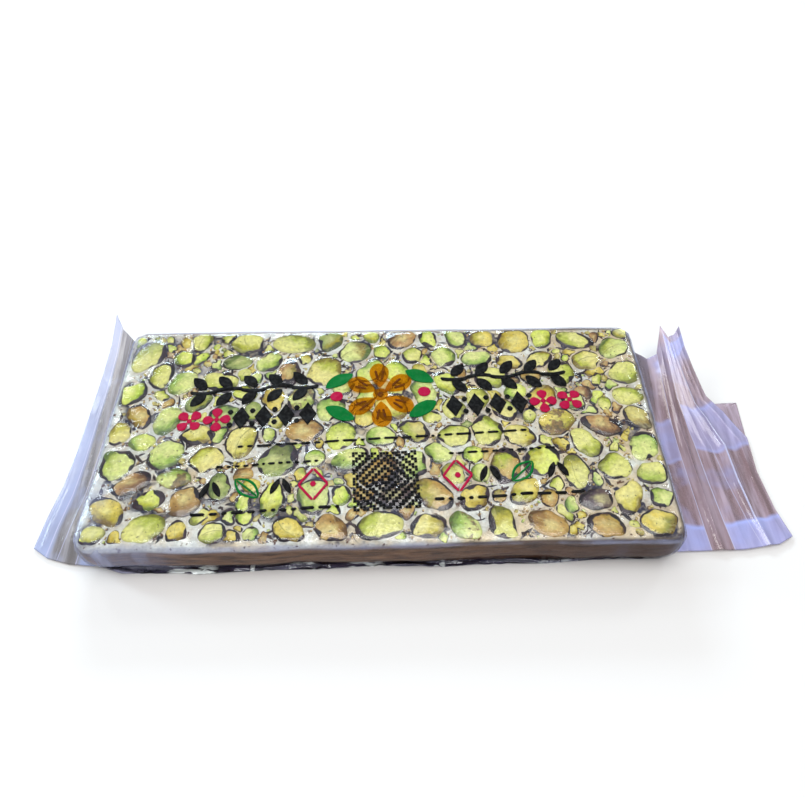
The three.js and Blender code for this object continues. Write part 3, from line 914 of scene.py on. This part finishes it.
wrap = {
    "topShare": 0.86,
    # share of the way out, height, and how far inside the full outline
    "levels": [
        (0.86, 15, 2.6), (0.885, 14.2, 0.9), (0.905, 12.7, 0.15), (0.94, 9.5, 0), (0.965, 5.4, 0.1),
        (0.98, 3.6, 0.5), (0.988, 2.2, 1.5), (0.994, 0.7, 1.3), (1, 0.02, 2.2),
    ],
    "frontDent": (1.2, 45, 45),
}


def wallWave(x, y):
    depth, at, halfWidth = wrap["frontDent"]
    dent = np.where(y < 0, depth * mound(x - at, halfWidth), 0)
    waves = 0.2 * np.sin(x * 0.11 + 0.6) + 0.14 * np.sin(x * 0.27 + y * 0.19) + 0.1 * np.sin(y * 0.33)
    return waves - dent


def footWave(x, y):
    swell = 0.9 * np.sin(x * 0.16 + 1.9) * np.sin(x * 0.047 + y * 0.02 + 0.4)
    return swell + 0.3 * np.sin(x * 0.41 + y * 0.3)


def wrapOverBar(u, v, shrink):
    shares, heights, insets = zip(*wrap["levels"])
    t = np.maximum(np.abs(u), np.abs(v))
    inset = np.interp(t, shares, insets) + shrink
    z = np.interp(t, shares, heights)
    grow = np.minimum(t / wrap["topShare"], 1)
    halfX, halfY = (endX - inset) * grow, (sideY - inset) * grow
    turn = np.maximum(bar["cornerRadius"] - 0.5 * inset, 1) * grow ** 3
    x, y = u / np.maximum(t, 1e-9) * halfX, v / np.maximum(t, 1e-9) * halfY
    signX, signY = np.sign(x), np.sign(y)
    pastX, pastY = np.abs(x) - (halfX - turn), np.abs(y) - (halfY - turn)
    inCorner = (pastX > 0) & (pastY > 0)
    pull = turn / np.maximum(np.hypot(pastX, pastY), 1e-9)
    x = np.where(inCorner, signX * (halfX - turn + pastX * pull), x)
    y = np.where(inCorner, signY * (halfY - turn + pastY * pull), y)
    out = wallWave(x, y) * smoothStep(0.86, 0.9, t) * smoothStep(1.0, 0.99, t)
    x, y = x + np.where(pastX > turn - 1, signX * out, 0), y + np.where(pastY > turn - 1, signY * out, 0)
    z = z + footWave(x, y) * smoothStep(0.95, 0.98, t) * smoothStep(0.996, 0.985, t)
    return x, y, z, t


def closeUnder(obj):
    onlySelect(obj)
    editAll(kind="EDGE", action="DESELECT")
    bpy.ops.mesh.select_non_manifold()
    bpy.ops.mesh.edge_face_add()
    bpy.ops.object.mode_set(mode="OBJECT")


def wrappedGrid(across, along):
    deselectAll()
    bpy.ops.mesh.primitive_grid_add(x_subdivisions=across, y_subdivisions=along, size=2)
    grid = bpy.context.object
    points = readPoints(grid)
    return grid, points[:, 0], points[:, 1]


slab = {"across": 300, "along": 150, "shrink": 0.4, "sink": 0.24, "bumps": 0.1, "stainAndShade": 0.34}


def makeSlab():
    grid, u, v = wrappedGrid(slab["across"], slab["along"])
    x, y, z, t = wrapOverBar(u, v, slab["shrink"])
    z = z - slab["sink"] * smoothStep(0.93, 0.88, t)
    lumps = np.sin(x * 0.9 + 1.7 * np.sin(y * 0.55)) * np.sin(y * 1.1 + 1.3 * np.sin(x * 0.4))
    z = z + slab["bumps"] * lumps * smoothStep(0.87, 0.84, t)
    writePoints(grid, x, y, np.maximum(z, 0.05))
    closeUnder(grid)
    # the brown stain and painted shade round the kernels, by how near each point lies to one
    stainAndShade = slab["stainAndShade"] * readMap(nearMap, x, y) * smoothStep(0.9, 0.86, t)
    setAttribute(grid, "nearKernel", stainAndShade)
    return finishPiece(grid, "nougat_slab", nougatMaterial)


film = {
    "across": 340, "along": 170,
    # where loose film lies milky, with a painted lavender sheen, on the top: x, y, reach, how much
    "hazy": [(86, 38, 8, 3.2), (-84, 39, 6, 1.6), (-86, -30, 6, 1.2), (86, 12, 4, 1.4)],
    # where it drapes milky over the edge and down the side: x, y, reach, share
    "drapes": [
        (-91, -38, 5, 0.75), (-82, -44, 2.6, 0.85), (-72, -44, 9, 0.42), (-91, -26, 6, 0.4), (91, 42, 7, 0.6),
        (90, -43, 5, 0.4), (70, -44, 2, 0.25),
    ],
    "pleats": (0.2, 15, 9),  # small pleats round the corners: depth, how many, how far they run
    "overGaps": (1.25, 0.1),  # how milky, with a painted sheen, it is between the kernels, and over them
}


def spread(spots, x, y):
    # how much of what is laid at some spots reaches each point
    return sum(much * mound(np.hypot(x - atX, y - atY), reach) for atX, atY, reach, much in spots)


def makeFilm():
    grid, u, v = wrappedGrid(film["across"], film["along"])
    x, y, z, t = wrapOverBar(u, v, 0)
    z = z + readMap(filmMap, x, y) * smoothStep(0.868, 0.855, t)
    depth, count, run = film["pleats"]
    pastX, pastY = np.abs(x) - (endX - run), np.abs(y) - (sideY - run)
    atCorner = smoothStep(0, 5, pastX) * smoothStep(0, 5, pastY)
    atCorner = atCorner * smoothStep(0.86, 0.89, t) * smoothStep(1, 0.98, t)
    heading = np.arctan2(np.maximum(pastY, 0.01), np.maximum(pastX, 0.01))
    pleat = depth * atCorner * np.sin(count * heading + x / endX + 0.3 * z)
    x, y = x + pleat * np.sign(x) * np.cos(heading), y + pleat * np.sign(y) * np.sin(heading)
    writePoints(grid, x, y, z)
    closeUnder(grid)
    # where the film shows milky haze and a painted sheen: between the kernels and at the listed spots
    most, least = film["overGaps"]
    gap = np.clip(most - readMap(nearMap, x, y), least, 1) + spread(film["hazy"], x, y)
    setAttribute(grid, "gap", gap * smoothStep(0.9, 0.86, t))
    setAttribute(grid, "milk", spread(film["drapes"], x, y) * smoothStep(0.84, 0.87, t))
    return finishPiece(grid, "tight_film", filmMaterial)


makeSlab()
makeFilm()
print("slab and film wrapped")


# kernels: one button of rings, copied and shaped to each outline

button = {
    "sides": 36,
    "rings": (0.94, 1.0, 0.985, 0.95, 0.89, 0.8, 0.68, 0.54, 0.38, 0.2, 0.06),
    "root": 1.1,  # how deep a kernel sits in the nougat
    "skinDepth": 0.1,  # how far its face lies under the film
    "wobble": ((5, 0.022), (9, 0.014), (17, 0.009)),
    "chipped": 0.3,  # share of the cut ones with one straight broken side
    "narrow": 0.1,  # how much narrower than its outline a kernel may be
    "fuller": 0.09,  # how much fuller one end is than the other
    "pointed": 0.09,  # how much the diagonals draw in, which points the ends
    "hollowed": 0.22,  # share of the cut ones with a hollow side, like a bean
    "hollow": (0.16, 0.34, 0.62),  # its least and most depth, and its half width in radians
    "breakAt": (0.62, 0.85),  # least and most share of the way out where a broken side lies
    "bumps": 0.06, "tilt": 0.014,
    "grooved": (0.24, 0.2),  # share of those with a groove along the middle, and with a line drawn in it
    "groove": (0.16, 0.03, 0.45),  # its depth, its depth on the others, half width
    "otherTint": 0.8,  # most of another colouring on the green side
    "bare": 0.1,  # share of those without skin
    "skin": (0.45, 1.6),  # least and most skin on the others
}
tints = {
    # screen colours: one side, the other side, rim
    "pale": ((230, 230, 142), (192, 204, 78), (124, 128, 42)),
    "gold": ((230, 213, 104), (200, 180, 54), (130, 104, 34)),
    "cream": ((234, 226, 144), (207, 199, 80), (136, 116, 44)),
    "green": ((223, 233, 150), (166, 198, 92), (90, 118, 52)),
    "bright": ((227, 237, 118), (189, 215, 70), (108, 132, 42)),
    "deepGreen": ((158, 176, 96), (112, 136, 62), (66, 86, 42)),
    "tan": ((200, 163, 88), (168, 129, 60), (100, 70, 40)),
    "olive": ((206, 192, 106), (168, 150, 72), (104, 88, 46)),
    "brownSkin": ((196, 154, 98), (140, 102, 64), (74, 52, 42)),
    "mauveSkin": ((122, 102, 96), (88, 72, 80), (50, 42, 56)),
}
colouringShares = {
    "cut": [
        ("deepGreen", 0.03), ("bright", 0.13), ("green", 0.17), ("pale", 0.28), ("cream", 0.13),
        ("gold", 0.17), ("olive", 0.04), ("tan", 0.05),
    ],
    "whole": [
        ("green", 0.16), ("olive", 0.22), ("gold", 0.24), ("tan", 0.18), ("brownSkin", 0.15),
        ("mauveSkin", 0.05),
    ],
    "sliver": [
        ("bright", 0.16), ("green", 0.2), ("pale", 0.24), ("gold", 0.2), ("tan", 0.12), ("brownSkin", 0.08),
    ],
}
# least and most of the brown skin that still clings to the flesh
clinging = {"cut": (-0.2, 0.36), "whole": (0.15, 0.5), "sliver": (-0.1, 0.4)}


def pick(shares, draw):
    total = 0
    for name, share in shares:
        total += share
        if draw < total:
            return name
    return shares[-1][0]


def makeButton():
    deselectAll()
    rings = button["rings"]
    bpy.ops.mesh.primitive_circle_add(vertices=button["sides"], radius=rings[0], fill_type="NGON")
    editAll()
    for inner, outer in zip(rings[1:], rings):
        bpy.ops.mesh.extrude_region_move(TRANSFORM_OT_translate={"value": (0, 0, 1)})
        bpy.ops.transform.resize(value=(inner / outer, inner / outer, 1))
    bpy.ops.object.mode_set(mode="OBJECT")
    return bpy.context.object


def paint(obj, disc, facts, colouring, other=None, share=0.0):
    # its own tints, and a share of another colouring on its green side
    setAttribute(obj, "disc", disc)
    setAttribute(obj, "facts", np.tile(facts, (len(disc), 1)))
    face, side, rim = (np.array(rgb(*tint)) for tint in tints[colouring])
    side = mix(side, np.array(rgb(*tints[other or colouring][1])), share)
    for name, tint in (("faceTint", face), ("sideTint", side), ("rimTint", rim)):
        setAttribute(obj, name, np.tile(tint, (len(disc), 1)))


def copyOf(source):
    copy = source.copy()
    copy.data = source.data.copy()
    bpy.context.collection.objects.link(copy)
    return copy


def breakSide(reach, angle, share, heading):
    # a straight broken side across the outline
    distance = share * np.interp(heading % tau, angle, reach, period=tau)
    return cutOff(reach, distance, np.cos(angle - heading), 0.1)


def shapeKernel(source, kernel, random):
    points = readPoints(source)
    level = np.round(points[:, 2]).astype(int)
    rho = np.array(button["rings"])[level]
    angle = np.mod(np.arctan2(points[:, 1], points[:, 0]), tau)
    kind = kernel["kind"]
    # greener towards the back and the left, more golden towards the front and the right
    drift = 0.13 * kernel["x"] / endX - 0.02 * kernel["y"] / sideY
    colouring = kernel["colouring"] or pick(colouringShares[kind], min(max(random() + drift, 0), 0.999))
    seed, skin, split, tiltA, tiltB, bend, brown, broken, share, heading, slim = draws(random, 11)
    pointed, hollow = button["pointed"] * random(), random()
    other = pick(colouringShares["cut"], random())
    otherShare = 0 if kernel["fixed"] else button["otherTint"] * random()
    free = kind == "cut" and not kernel["fixed"]
    rough = 0.98 + sum(size * np.sin(waves * angle + 40 * seed * waves) for waves, size in button["wobble"])
    reach = np.interp(angle, outlineAngles, kernel["outline"], period=tau)
    if free and broken < button["chipped"]:
        edge = np.array(kernel["outline"])
        edge = breakSide(edge, outlineAngles, mix(*button["breakAt"], share), tau * heading)
        reach = np.interp(angle, outlineAngles, edge, period=tau)
    local = angle - kernel["turn"]
    slim = 0 if kind == "sliver" else button["narrow"] * slim
    reach = reach * rough * (1 - slim * np.sin(local) ** 2) * (1 - button["fuller"] * (1 - np.cos(local)) / 2)
    if kind != "sliver":
        reach = reach * (1 - pointed * np.sin(2 * local) ** 2)
    if free and hollow < button["hollowed"]:
        side = pi / 2 if hollow < button["hollowed"] / 2 else -pi / 2
        least, most, halfWidth = button["hollow"]
        reach = reach * (1 - mix(least, most, share) * mound(angleTo(local, side), halfWidth))
    alongIt, acrossIt = reach * rho * np.cos(local), reach * rho * np.sin(local)
    bumps = button["bumps"] * np.sin(alongIt * 1.7 + 9 * seed) * np.sin(acrossIt * 2.1 + 5 * skin)
    offGroove = acrossIt - 0.5 * (bend - 0.5) * alongIt ** 2 / kernel["long"]
    deep, shallow, halfWidth = button["groove"]
    groovedShare, linedShare = button["grooved"]
    groove = (deep if split < groovedShare else shallow) * (1 - rho ** 3) * mound(offGroove, halfWidth)
    tilt = button["tilt"] * ((tiltA - 0.5) * alongIt + (tiltB - 0.5) * acrossIt)
    height = crown(kernel, rho) - button["skinDepth"] + bumps + tilt - groove
    height = np.where(level == 0, -button["root"], height)
    x = kernel["x"] + reach * rho * np.cos(angle)
    y = kernel["y"] + reach * rho * np.sin(angle)
    copy = copyOf(source)
    writePoints(copy, x, y, bar["height"] + height)
    bare = button["bare"]
    skinned = 0 if skin < bare else mix(*button["skin"], ((skin - bare) / (1 - bare)) ** 1.2)
    disc = np.stack([rho * np.cos(local), rho * np.sin(local), np.full(len(points), 40 * seed)], 1)
    facts = (skinned, 0.6 if split < linedShare else 0, mix(*clinging[kind], brown))
    paint(copy, disc, facts, colouring, other, otherShare)
    return copy


def makeKernels():
    source = makeButton()
    random = randomStream(311)
    made = {"cut": [], "whole": [], "sliver": []}
    for kernel in laidKernels + fillerKernels:
        made[kernel["kind"]].append(shapeKernel(source, kernel, random))
    bpy.data.objects.remove(source)
    names = {"cut": "cut_kernels", "whole": "whole_kernels", "sliver": "kernel_slivers"}
    for kind, copies in made.items():
        finishPiece(join(copies), names[kind], kernelMaterial)


makeKernels()
print("kernels made")


# skins and crumbs that lie in the nougat between the kernels

crumbs = {
    "seed": 91,
    # how many, half length, half width, height, sideways bow, depth of the middle, bare room round it,
    # and the faces round and up
    "skins": {"count": 230, "long": (0.8, 2.6), "wide": (0.18, 0.6), "high": 0.24, "bow": 0.8, "sink": 0.2,
              "room": 0.45, "round": (10, 5)},
    "chips": {"count": 520, "long": (0.25, 0.8), "wide": (0.2, 0.6), "high": 0.26, "bow": 0.1, "sink": 0.2,
              "room": 0.3, "round": (8, 5)},
    "bits": {"count": 70, "long": (0.9, 2.2), "wide": (0.7, 1.4), "high": 0.36, "bow": 0.3, "sink": 0.3,
             "room": 0.9, "round": (12, 7)},
    "skinTints": ["brownSkin"],
    "chipTints": ["tan", "brownSkin", "green", "olive", "brownSkin", "gold", "brownSkin"],
    "bitTints": ["olive", "green", "gold", "tan", "olive", "deepGreen", "brownSkin"],
}


def bareSpot(random, room, taken):
    # a drawn place where no kernel and nothing laid before lies within the given room
    for _ in range(60):
        x, y = mix(-86, 87, random() ** 0.8), mix(-39.8, 39.8, random())
        if any(hypot(x - otherX, y - otherY) < 1.5 * room for otherX, otherY in taken):
            continue
        around = [(x, y), (x + room, y), (x - room, y), (x, y + room), (x, y - room)]
        xs, ys = np.array(around).T
        if readMap(crownMap, xs, ys).max() < 0.12:
            return x, y
    return None


def scatterCrumbs(name, facts, palette, material, random):
    deselectAll()
    segments, rings = facts["round"]
    bpy.ops.mesh.primitive_uv_sphere_add(segments=segments, ring_count=rings, radius=1)
    source = bpy.context.object
    ball = readPoints(source)
    copies = []
    taken = []
    for _ in range(facts["count"]):
        spot = bareSpot(random, facts["room"], taken)
        if spot is None:
            continue
        taken.append(spot)
        long, wide = mix(*facts["long"], random()), mix(*facts["wide"], random())
        turn, bow, ragged = random() * tau, facts["bow"] * random(), random() * 9
        along = long * ball[:, 0] * (1 + 0.14 * np.sin(4 * ball[:, 1] + 2 * ragged))
        across = wide * ball[:, 1] * (1 + 0.3 * np.sin(5 * ball[:, 0] + ragged)) + bow * (1 - ball[:, 0] ** 2)
        offX, offY = turned(along, across, turn)
        copy = copyOf(source)
        z = bar["height"] - facts["sink"] + facts["high"] * np.clip(ball[:, 2] * 1.5, -1, 1)
        writePoints(copy, spot[0] + offX, spot[1] + offY, z)
        disc = np.column_stack([ball[:, :2], np.full(len(ball), 4 * ragged)])
        paint(copy, disc, (0.9 * random(), 0, 0.3 * random()), palette[int(random() * len(palette))])
        copies.append(copy)
    bpy.data.objects.remove(source)
    finishPiece(join(copies), name, material)


crumbDraw = randomStream(crumbs["seed"])
scatterCrumbs("nut_bits", crumbs["bits"], crumbs["bitTints"], kernelMaterial, crumbDraw)
scatterCrumbs("loose_skins", crumbs["skins"], crumbs["skinTints"], skinMaterial, crumbDraw)
scatterCrumbs("nut_crumbs", crumbs["chips"], crumbs["chipTints"], kernelMaterial, crumbDraw)
print("skins and crumbs scattered")


# loose film at both ends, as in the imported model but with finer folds

rightFin = {
    "reach": 37,
    "frontY": [(0, -39), (0.6, -38.6), (0.88, -37), (1, -34.5)],
    "backX": [(0, 0), (0.2, 7), (0.32, 10.6), (0.5, 13.3), (0.8, 15), (1, 18.4)],
    "backY": [(0, 36), (0.1, 33.5), (0.22, 32), (0.34, 33.5), (0.5, 44.2), (0.72, 39), (0.88, 40), (1, 43.4)],
    "backZ": [(0, 12), (0.22, 8.5), (0.34, 9.5), (0.5, 13), (0.8, 12), (1, 13.4)],
    "edgeShift": [
        (0, 0), (0.12, 0), (0.3, 2.3), (0.47, 6.6), (0.6, 3), (0.67, -0.6), (0.8, -1.2), (0.9, -1.2), (1, 0),
    ],
    "flatUntil": 0.44, "lyingHeight": 1.1, "creaseShare": 0.75,
    # where, how high, how wide
    "creases": [
        (0.16, 0.9, 0.04), (0.42, 1.7, 0.035), (0.62, 0.7, 0.05), (0.8, 2.1, 0.04), (0.94, 0.8, 0.03),
    ],
    "across": 150, "along": 230,
}
leftFin = {
    # share along, reach, height
    "edge": [
        (0, 17.5, 0.9), (0.12, 15.8, 2), (0.25, 12.8, 4), (0.4, 11, 6), (0.57, 9.4, 8.6),
        (0.73, 7.4, 12), (0.87, 5.8, 15.6), (1, 5, 20),
    ],
    "frontY": [(0, -40.6), (0.4, -39.8), (0.75, -37.8), (1, -34.5)],
    "backY": [(0, 37.5), (0.3, 39.5), (0.7, 41.8), (1, 46.4)],
    "rootZ": [(0, 1), (0.3, 2), (0.7, 7), (1, 12)],
    "crease": (0.55, 0.9, 0.12), "across": 90, "along": 230,
}
fineFolds = {"count": 14, "height": (0.06, 0.26), "halfWidth": (0.006, 0.02), "thickness": 0.12}


def fineRidges(u, v, seed):
    # many small creases that run along the fin, each for part of its length and slightly askew
    random = randomStream(seed)
    height = np.zeros_like(u)
    for _ in range(fineFolds["count"]):
        at, lean, middle, span = random(), (random() - 0.5) * 0.35, random(), mix(0.12, 0.5, random())
        size, half = mix(*fineFolds["height"], random() ** 2), mix(*fineFolds["halfWidth"], random())
        line = at + lean * (v - middle)
        height += size * np.exp(-np.abs(u - line) / half) * mound(v - middle, span)
    return height


def rightFinPoint(u, v):
    fin = rightFin
    frontX = endX - overlap + (fin["reach"] + overlap) * u
    backX = endX - overlap * (1 - u) + through(fin["backX"], u)
    x = mix(frontX, backX, v) + u ** 3 * through(fin["edgeShift"], v)
    y = mix(through(fin["frontY"], u), through(fin["backY"], u), v)
    climb = (through(fin["backZ"], u) - fin["lyingHeight"]) * smoothStep(fin["flatUntil"], 1.12, v) * 1.06
    folds = sum(height * np.exp(-np.abs(u - at) / width) for at, height, width in fin["creases"])
    depth = mix(0.55, 1, smoothStep(0, 0.3, v)) * mix(1, 0.3, smoothStep(0.45, 0.85, v))
    return x, y, fin["lyingHeight"] + climb + fin["creaseShare"] * folds * depth


def leftFinPoint(u, v):
    fin = leftFin
    shares, reaches, heights = zip(*fin["edge"])
    reach, edgeZ = np.interp(v, shares, reaches), np.interp(v, shares, heights)
    x = -(endX - overlap + (reach + overlap) * u)
    y = mix(through(fin["frontY"], u), through(fin["backY"], u), v)
    at, height, width = fin["crease"]
    crease = 0.6 * height * np.exp(-np.abs(u - at) / width) * smoothStep(0, 0.2, v)
    z = mix(through(fin["rootZ"], v), edgeZ, u ** 1.5) + crease
    return x, y, np.maximum(z, filmThickness)


def solidify(obj, thickness, offset=0):
    onlySelect(obj)
    modifier = obj.modifiers.new("thickness", "SOLIDIFY")
    modifier.thickness = thickness * mm
    modifier.offset = offset
    bpy.ops.object.modifier_apply(modifier="thickness")


def makeSheet(name, pointAt, across, along, material, ridgeSeed, ridgeShare):
    grid, u, v = wrappedGrid(across, along)
    u, v = (u + 1) / 2, (v + 1) / 2
    x, y, z = pointAt(u, v)
    fade = smoothStep(0, 0.12, u) * smoothStep(0, 0.03, v) * smoothStep(1, 0.97, v)
    z = z - 0.25 + ridgeShare * fade * (fineRidges(u, v, ridgeSeed) + 0.5 * fineRidges(v, u, ridgeSeed + 40))
    writePoints(grid, x, y, z)
    setAttribute(grid, "sheet", np.stack([u, v, u * 0], 1))
    solidify(grid, fineFolds["thickness"])
    return finishPiece(grid, name, material)


makeSheet("right_fin", rightFinPoint, rightFin["across"], rightFin["along"], finMaterial, 12, 0.5)
makeSheet("left_fin", leftFinPoint, leftFin["across"], leftFin["along"], leftFinMaterial, 27, 0.6)

lowerWeb = {
    "inside": 3, "height": 0.6,
    # beyond the bar's end, y
    "edge": [(34.6, -34), (33, -11), (34.8, 2.6), (36.2, 17.4), (30.4, 14.4)],
    "across": 60, "along": 60,
}


def lowerWebPoint(u, v):
    shares = np.linspace(0, 1, len(lowerWeb["edge"]))
    reach, side = (np.interp(v, shares, places) for places in zip(*lowerWeb["edge"]))
    x = mix(endX - lowerWeb["inside"], endX + reach, u)
    y = mix(side * 0.9, side, u)
    return x, y, lowerWeb["height"] + 0 * u


makeSheet("lower_web", lowerWebPoint, lowerWeb["across"], lowerWeb["along"], webMaterial, 33, 0.3)

hem = {
    "halfLength": 86, "left": 43.4, "right": 41, "waviness": 0.5, "height": 0.75, "ripple": 0.35,
    "inside": 4, "along": 420, "across": 24, "pucker": 0.42, "ridge": 0.36,
}


def hemPoint(side):
    def point(u, v):
        x = mix(-hem["halfLength"], hem["halfLength"], v)
        rounding = 2.5 * (1 - smoothStep(0, 0.05, v) * smoothStep(1, 0.95, v))
        wave = hem["waviness"] * np.sin(x * 0.13 + side) * np.sin(x * 0.052 + 1.3)
        edge = mix(hem["left"], hem["right"], v) + wave - rounding
        y = side * mix(sideY - hem["inside"], edge, u)
        ripple = hem["ripple"] * u * np.sin(x * 0.31 + 2 * side) * np.sin(x * 0.11)
        pucker = hem["pucker"] * np.sin(x * 0.9 + 2 * np.sin(x * 0.37)) * np.sin(x * 0.173 + side) * u
        pucker = pucker + hem["ridge"] * np.sin(u * 9 + 1.5 * np.sin(x * 0.21) + side) * np.sin(x * 0.083 + 1)
        return x, y, np.maximum(hem["height"] + ripple + pucker, 0.35)

    return point


makeSheet("front_hem", hemPoint(-1), hem["across"], hem["along"], hemMaterial, 51, 0.0)
makeSheet("back_hem", hemPoint(1), hem["across"], hem["along"], hemMaterial, 52, 0.0)
print("fins and hems made")


# the print on the film: petals, leaves, lozenges and dots in the pack's colours

printing = {"lift": 0.07, "thickness": 0.03, "turn": 3, "seed": 44, "fineness": 2.2}
printed = {name: [] for name in inks}

outlines = {
    "bar": lambda u: np.sqrt(np.clip(1 - np.clip((np.abs(u) - 0.85) / 0.15, 0, 1) ** 2, 0, 1)),
    "leaf": lambda u: (1 - u ** 2) ** 0.8,
    "petal": lambda u: np.sin(pi * ((u + 1) / 2) ** 0.75) ** 0.8,
    "lozenge": lambda u: 1 - np.abs(u),
    "dot": lambda u: np.sqrt(np.clip(1 - u ** 2, 0, 1)),
    "square": lambda u: np.ones_like(u),
}


def stamp(ink, shape, x, y, halfLong, halfWide, turn=0.0, bow=0.0):
    # one inked shape: half its length and width, turned by degrees, bowed sideways
    steps = max(4, int(halfLong * printing["fineness"] * 2))
    rows = max(2, int(halfWide * printing["fineness"] * 2))
    grid, u, v = wrappedGrid(steps, rows)
    across = v * halfWide * outlines[shape](u) + bow * (1 - u ** 2)
    offX, offY = turned(u * halfLong, across, radians(turn))
    flatX, flatY = turned(x + offX, y + offY, radians(printing["turn"]))
    z = filmTop(flatX, flatY) + printing["lift"]
    writePoints(grid, flatX, flatY, z)
    printed[ink].append(grid)


def pair(ink, shape, x, y, halfLong, halfWide, turn=0, bow=0):
    # the same shape at each side of the middle
    for side in (-1, 1):
        stamp(ink, shape, side * x, y, halfLong, halfWide, side * turn, bow)


def dashes(fromX, toX, y, halfWide, random, long, gap):
    x = fromX
    while x < toX:
        half = mix(*long, random())
        stamp("black", "bar", x + half, y, half, halfWide)
        x += 2 * half + gap


def printRosette():
    # the middle: clear ochre petals with brown strokes, and leaves and a bud at each side
    x, y = 0, 12
    for k in range(6):
        heading = radians(60 * k + 90)
        px, py = x + 7 * cos(heading), y + 8.2 * sin(heading)
        stamp("ochre", "petal", px, py, 5.2, 3.3, 60 * k + 270)
        for side in (-1.1, 0.9):
            strokeX, strokeY = px - side * sin(heading), py + side * cos(heading)
            stamp("brown", "bar", strokeX, strokeY, 2.1, 0.42, 60 * k + 90 + 12 * side)
    stamp("ochre", "dot", x, y, 2.6, 2.6)
    stamp("brown", "dot", x, y, 1.1, 1.1)
    pair("green", "leaf", 13.6, y - 6.8, 5.4, 2.5, 30)
    pair("green", "leaf", 13.6, y + 6.8, 5.4, 2.5, -30)
    pair("magenta", "dot", 14.6, y, 2.2, 2)


def printGarlands():
    # a waved stem with leaf pairs at each side of the rosette
    step, y = 8.4, 17.2
    for k in range(5):
        x = 21 + (k + 0.5) * step
        pair("black", "bar", x, y, step * 0.56, 0.75, 0, 0.8 if k % 2 else -0.8)
        for up in (-1, 1):
            pair("black", "leaf", x + 1.5, y + up * 3.4, 3.5, 1.9, up * 48)


def printChains():
    # below each garland: lozenges and dots, then four-petalled flowers
    y = 5.6
    for k in range(4):
        x = 24 + k * 7.2
        pair("black", "lozenge", x, y, 2.9, 4.6)
        pair("black", "dot", x + 3.6, y + 2.5, 1, 1)
        pair("black", "dot", x + 3.6, y - 2.5, 1, 1)
    size, y = 4.6, y - 0.2
    for x, tilt in ((-62.3, 45), (-53.5, 0), (53.5, 0), (62.3, 45)):
        for heading in range(tilt, tilt + 360, 90):
            outX, outY = turned(size * 0.58, 0, radians(heading))
            stamp("magenta", "petal", x + outX, y + outY, size * 0.42, size * 0.37, heading + 180)
        stamp("magenta", "dot", x, y, size * 0.2, size * 0.2)


def printSmallMarks():
    random = randomStream(printing["seed"])
    dashes(-46, 46, -5.6, 0.42, random, (0.5, 2.6), 0.9)
    for fromX, toX in ((-58, -14), (14, 58)):
        dashes(fromX, toX, -28.6, 0.5, random, (0.6, 2.4), 1.0)
        dashes(fromX + 6, toX - 6, -12.6, 0.4, random, (0.5, 1.9), 0.8)
    # an outlined lozenge with a dot, an outlined leaf, and small leaves beside them
    lozengeX, leafX, y = 22, 42, -20.6
    for up in (-1, 1):
        for out in (-1, 1):
            pair("magenta", "bar", lozengeX + out * 2.3, y + up * 2.7, 3.6, 0.4, -52 * up * out)
        pair("green", "bar", leafX, y, 5, 0.4, 42, 2.3 * up)
    pair("magenta", "dot", lozengeX, y, 1, 1)
    pair("green", "bar", leafX, y, 4.4, 0.3, 42)
    for x, lean in ((30, 65), (33.5, -65), (51, 65), (54.5, -65)):
        pair("black", "leaf", x, y, 3, 1, lean)


def printSteppedSquare():
    # small squares in lozenges one inside the other, as on a woven cloth
    cell, reach, middleY = 0.96, 10, -20.6
    for row in range(-reach, reach + 1):
        for column in range(-reach, reach + 1):
            if (abs(row) + abs(column)) % 3:
                stamp("black", "square", column * cell, middleY + row * cell, cell * 0.46, cell * 0.46)


printRosette()
printGarlands()
printChains()
printSmallMarks()
printSteppedSquare()
for ink, stamps in printed.items():
    piece = join(stamps)
    editAll()
    bpy.ops.mesh.remove_doubles(threshold=0.004 * mm)
    bpy.ops.object.mode_set(mode="OBJECT")
    solidify(piece, printing["thickness"], 1)
    finishPiece(piece, "print_" + ink, makeInkMaterial(ink))
print("print laid on the film")
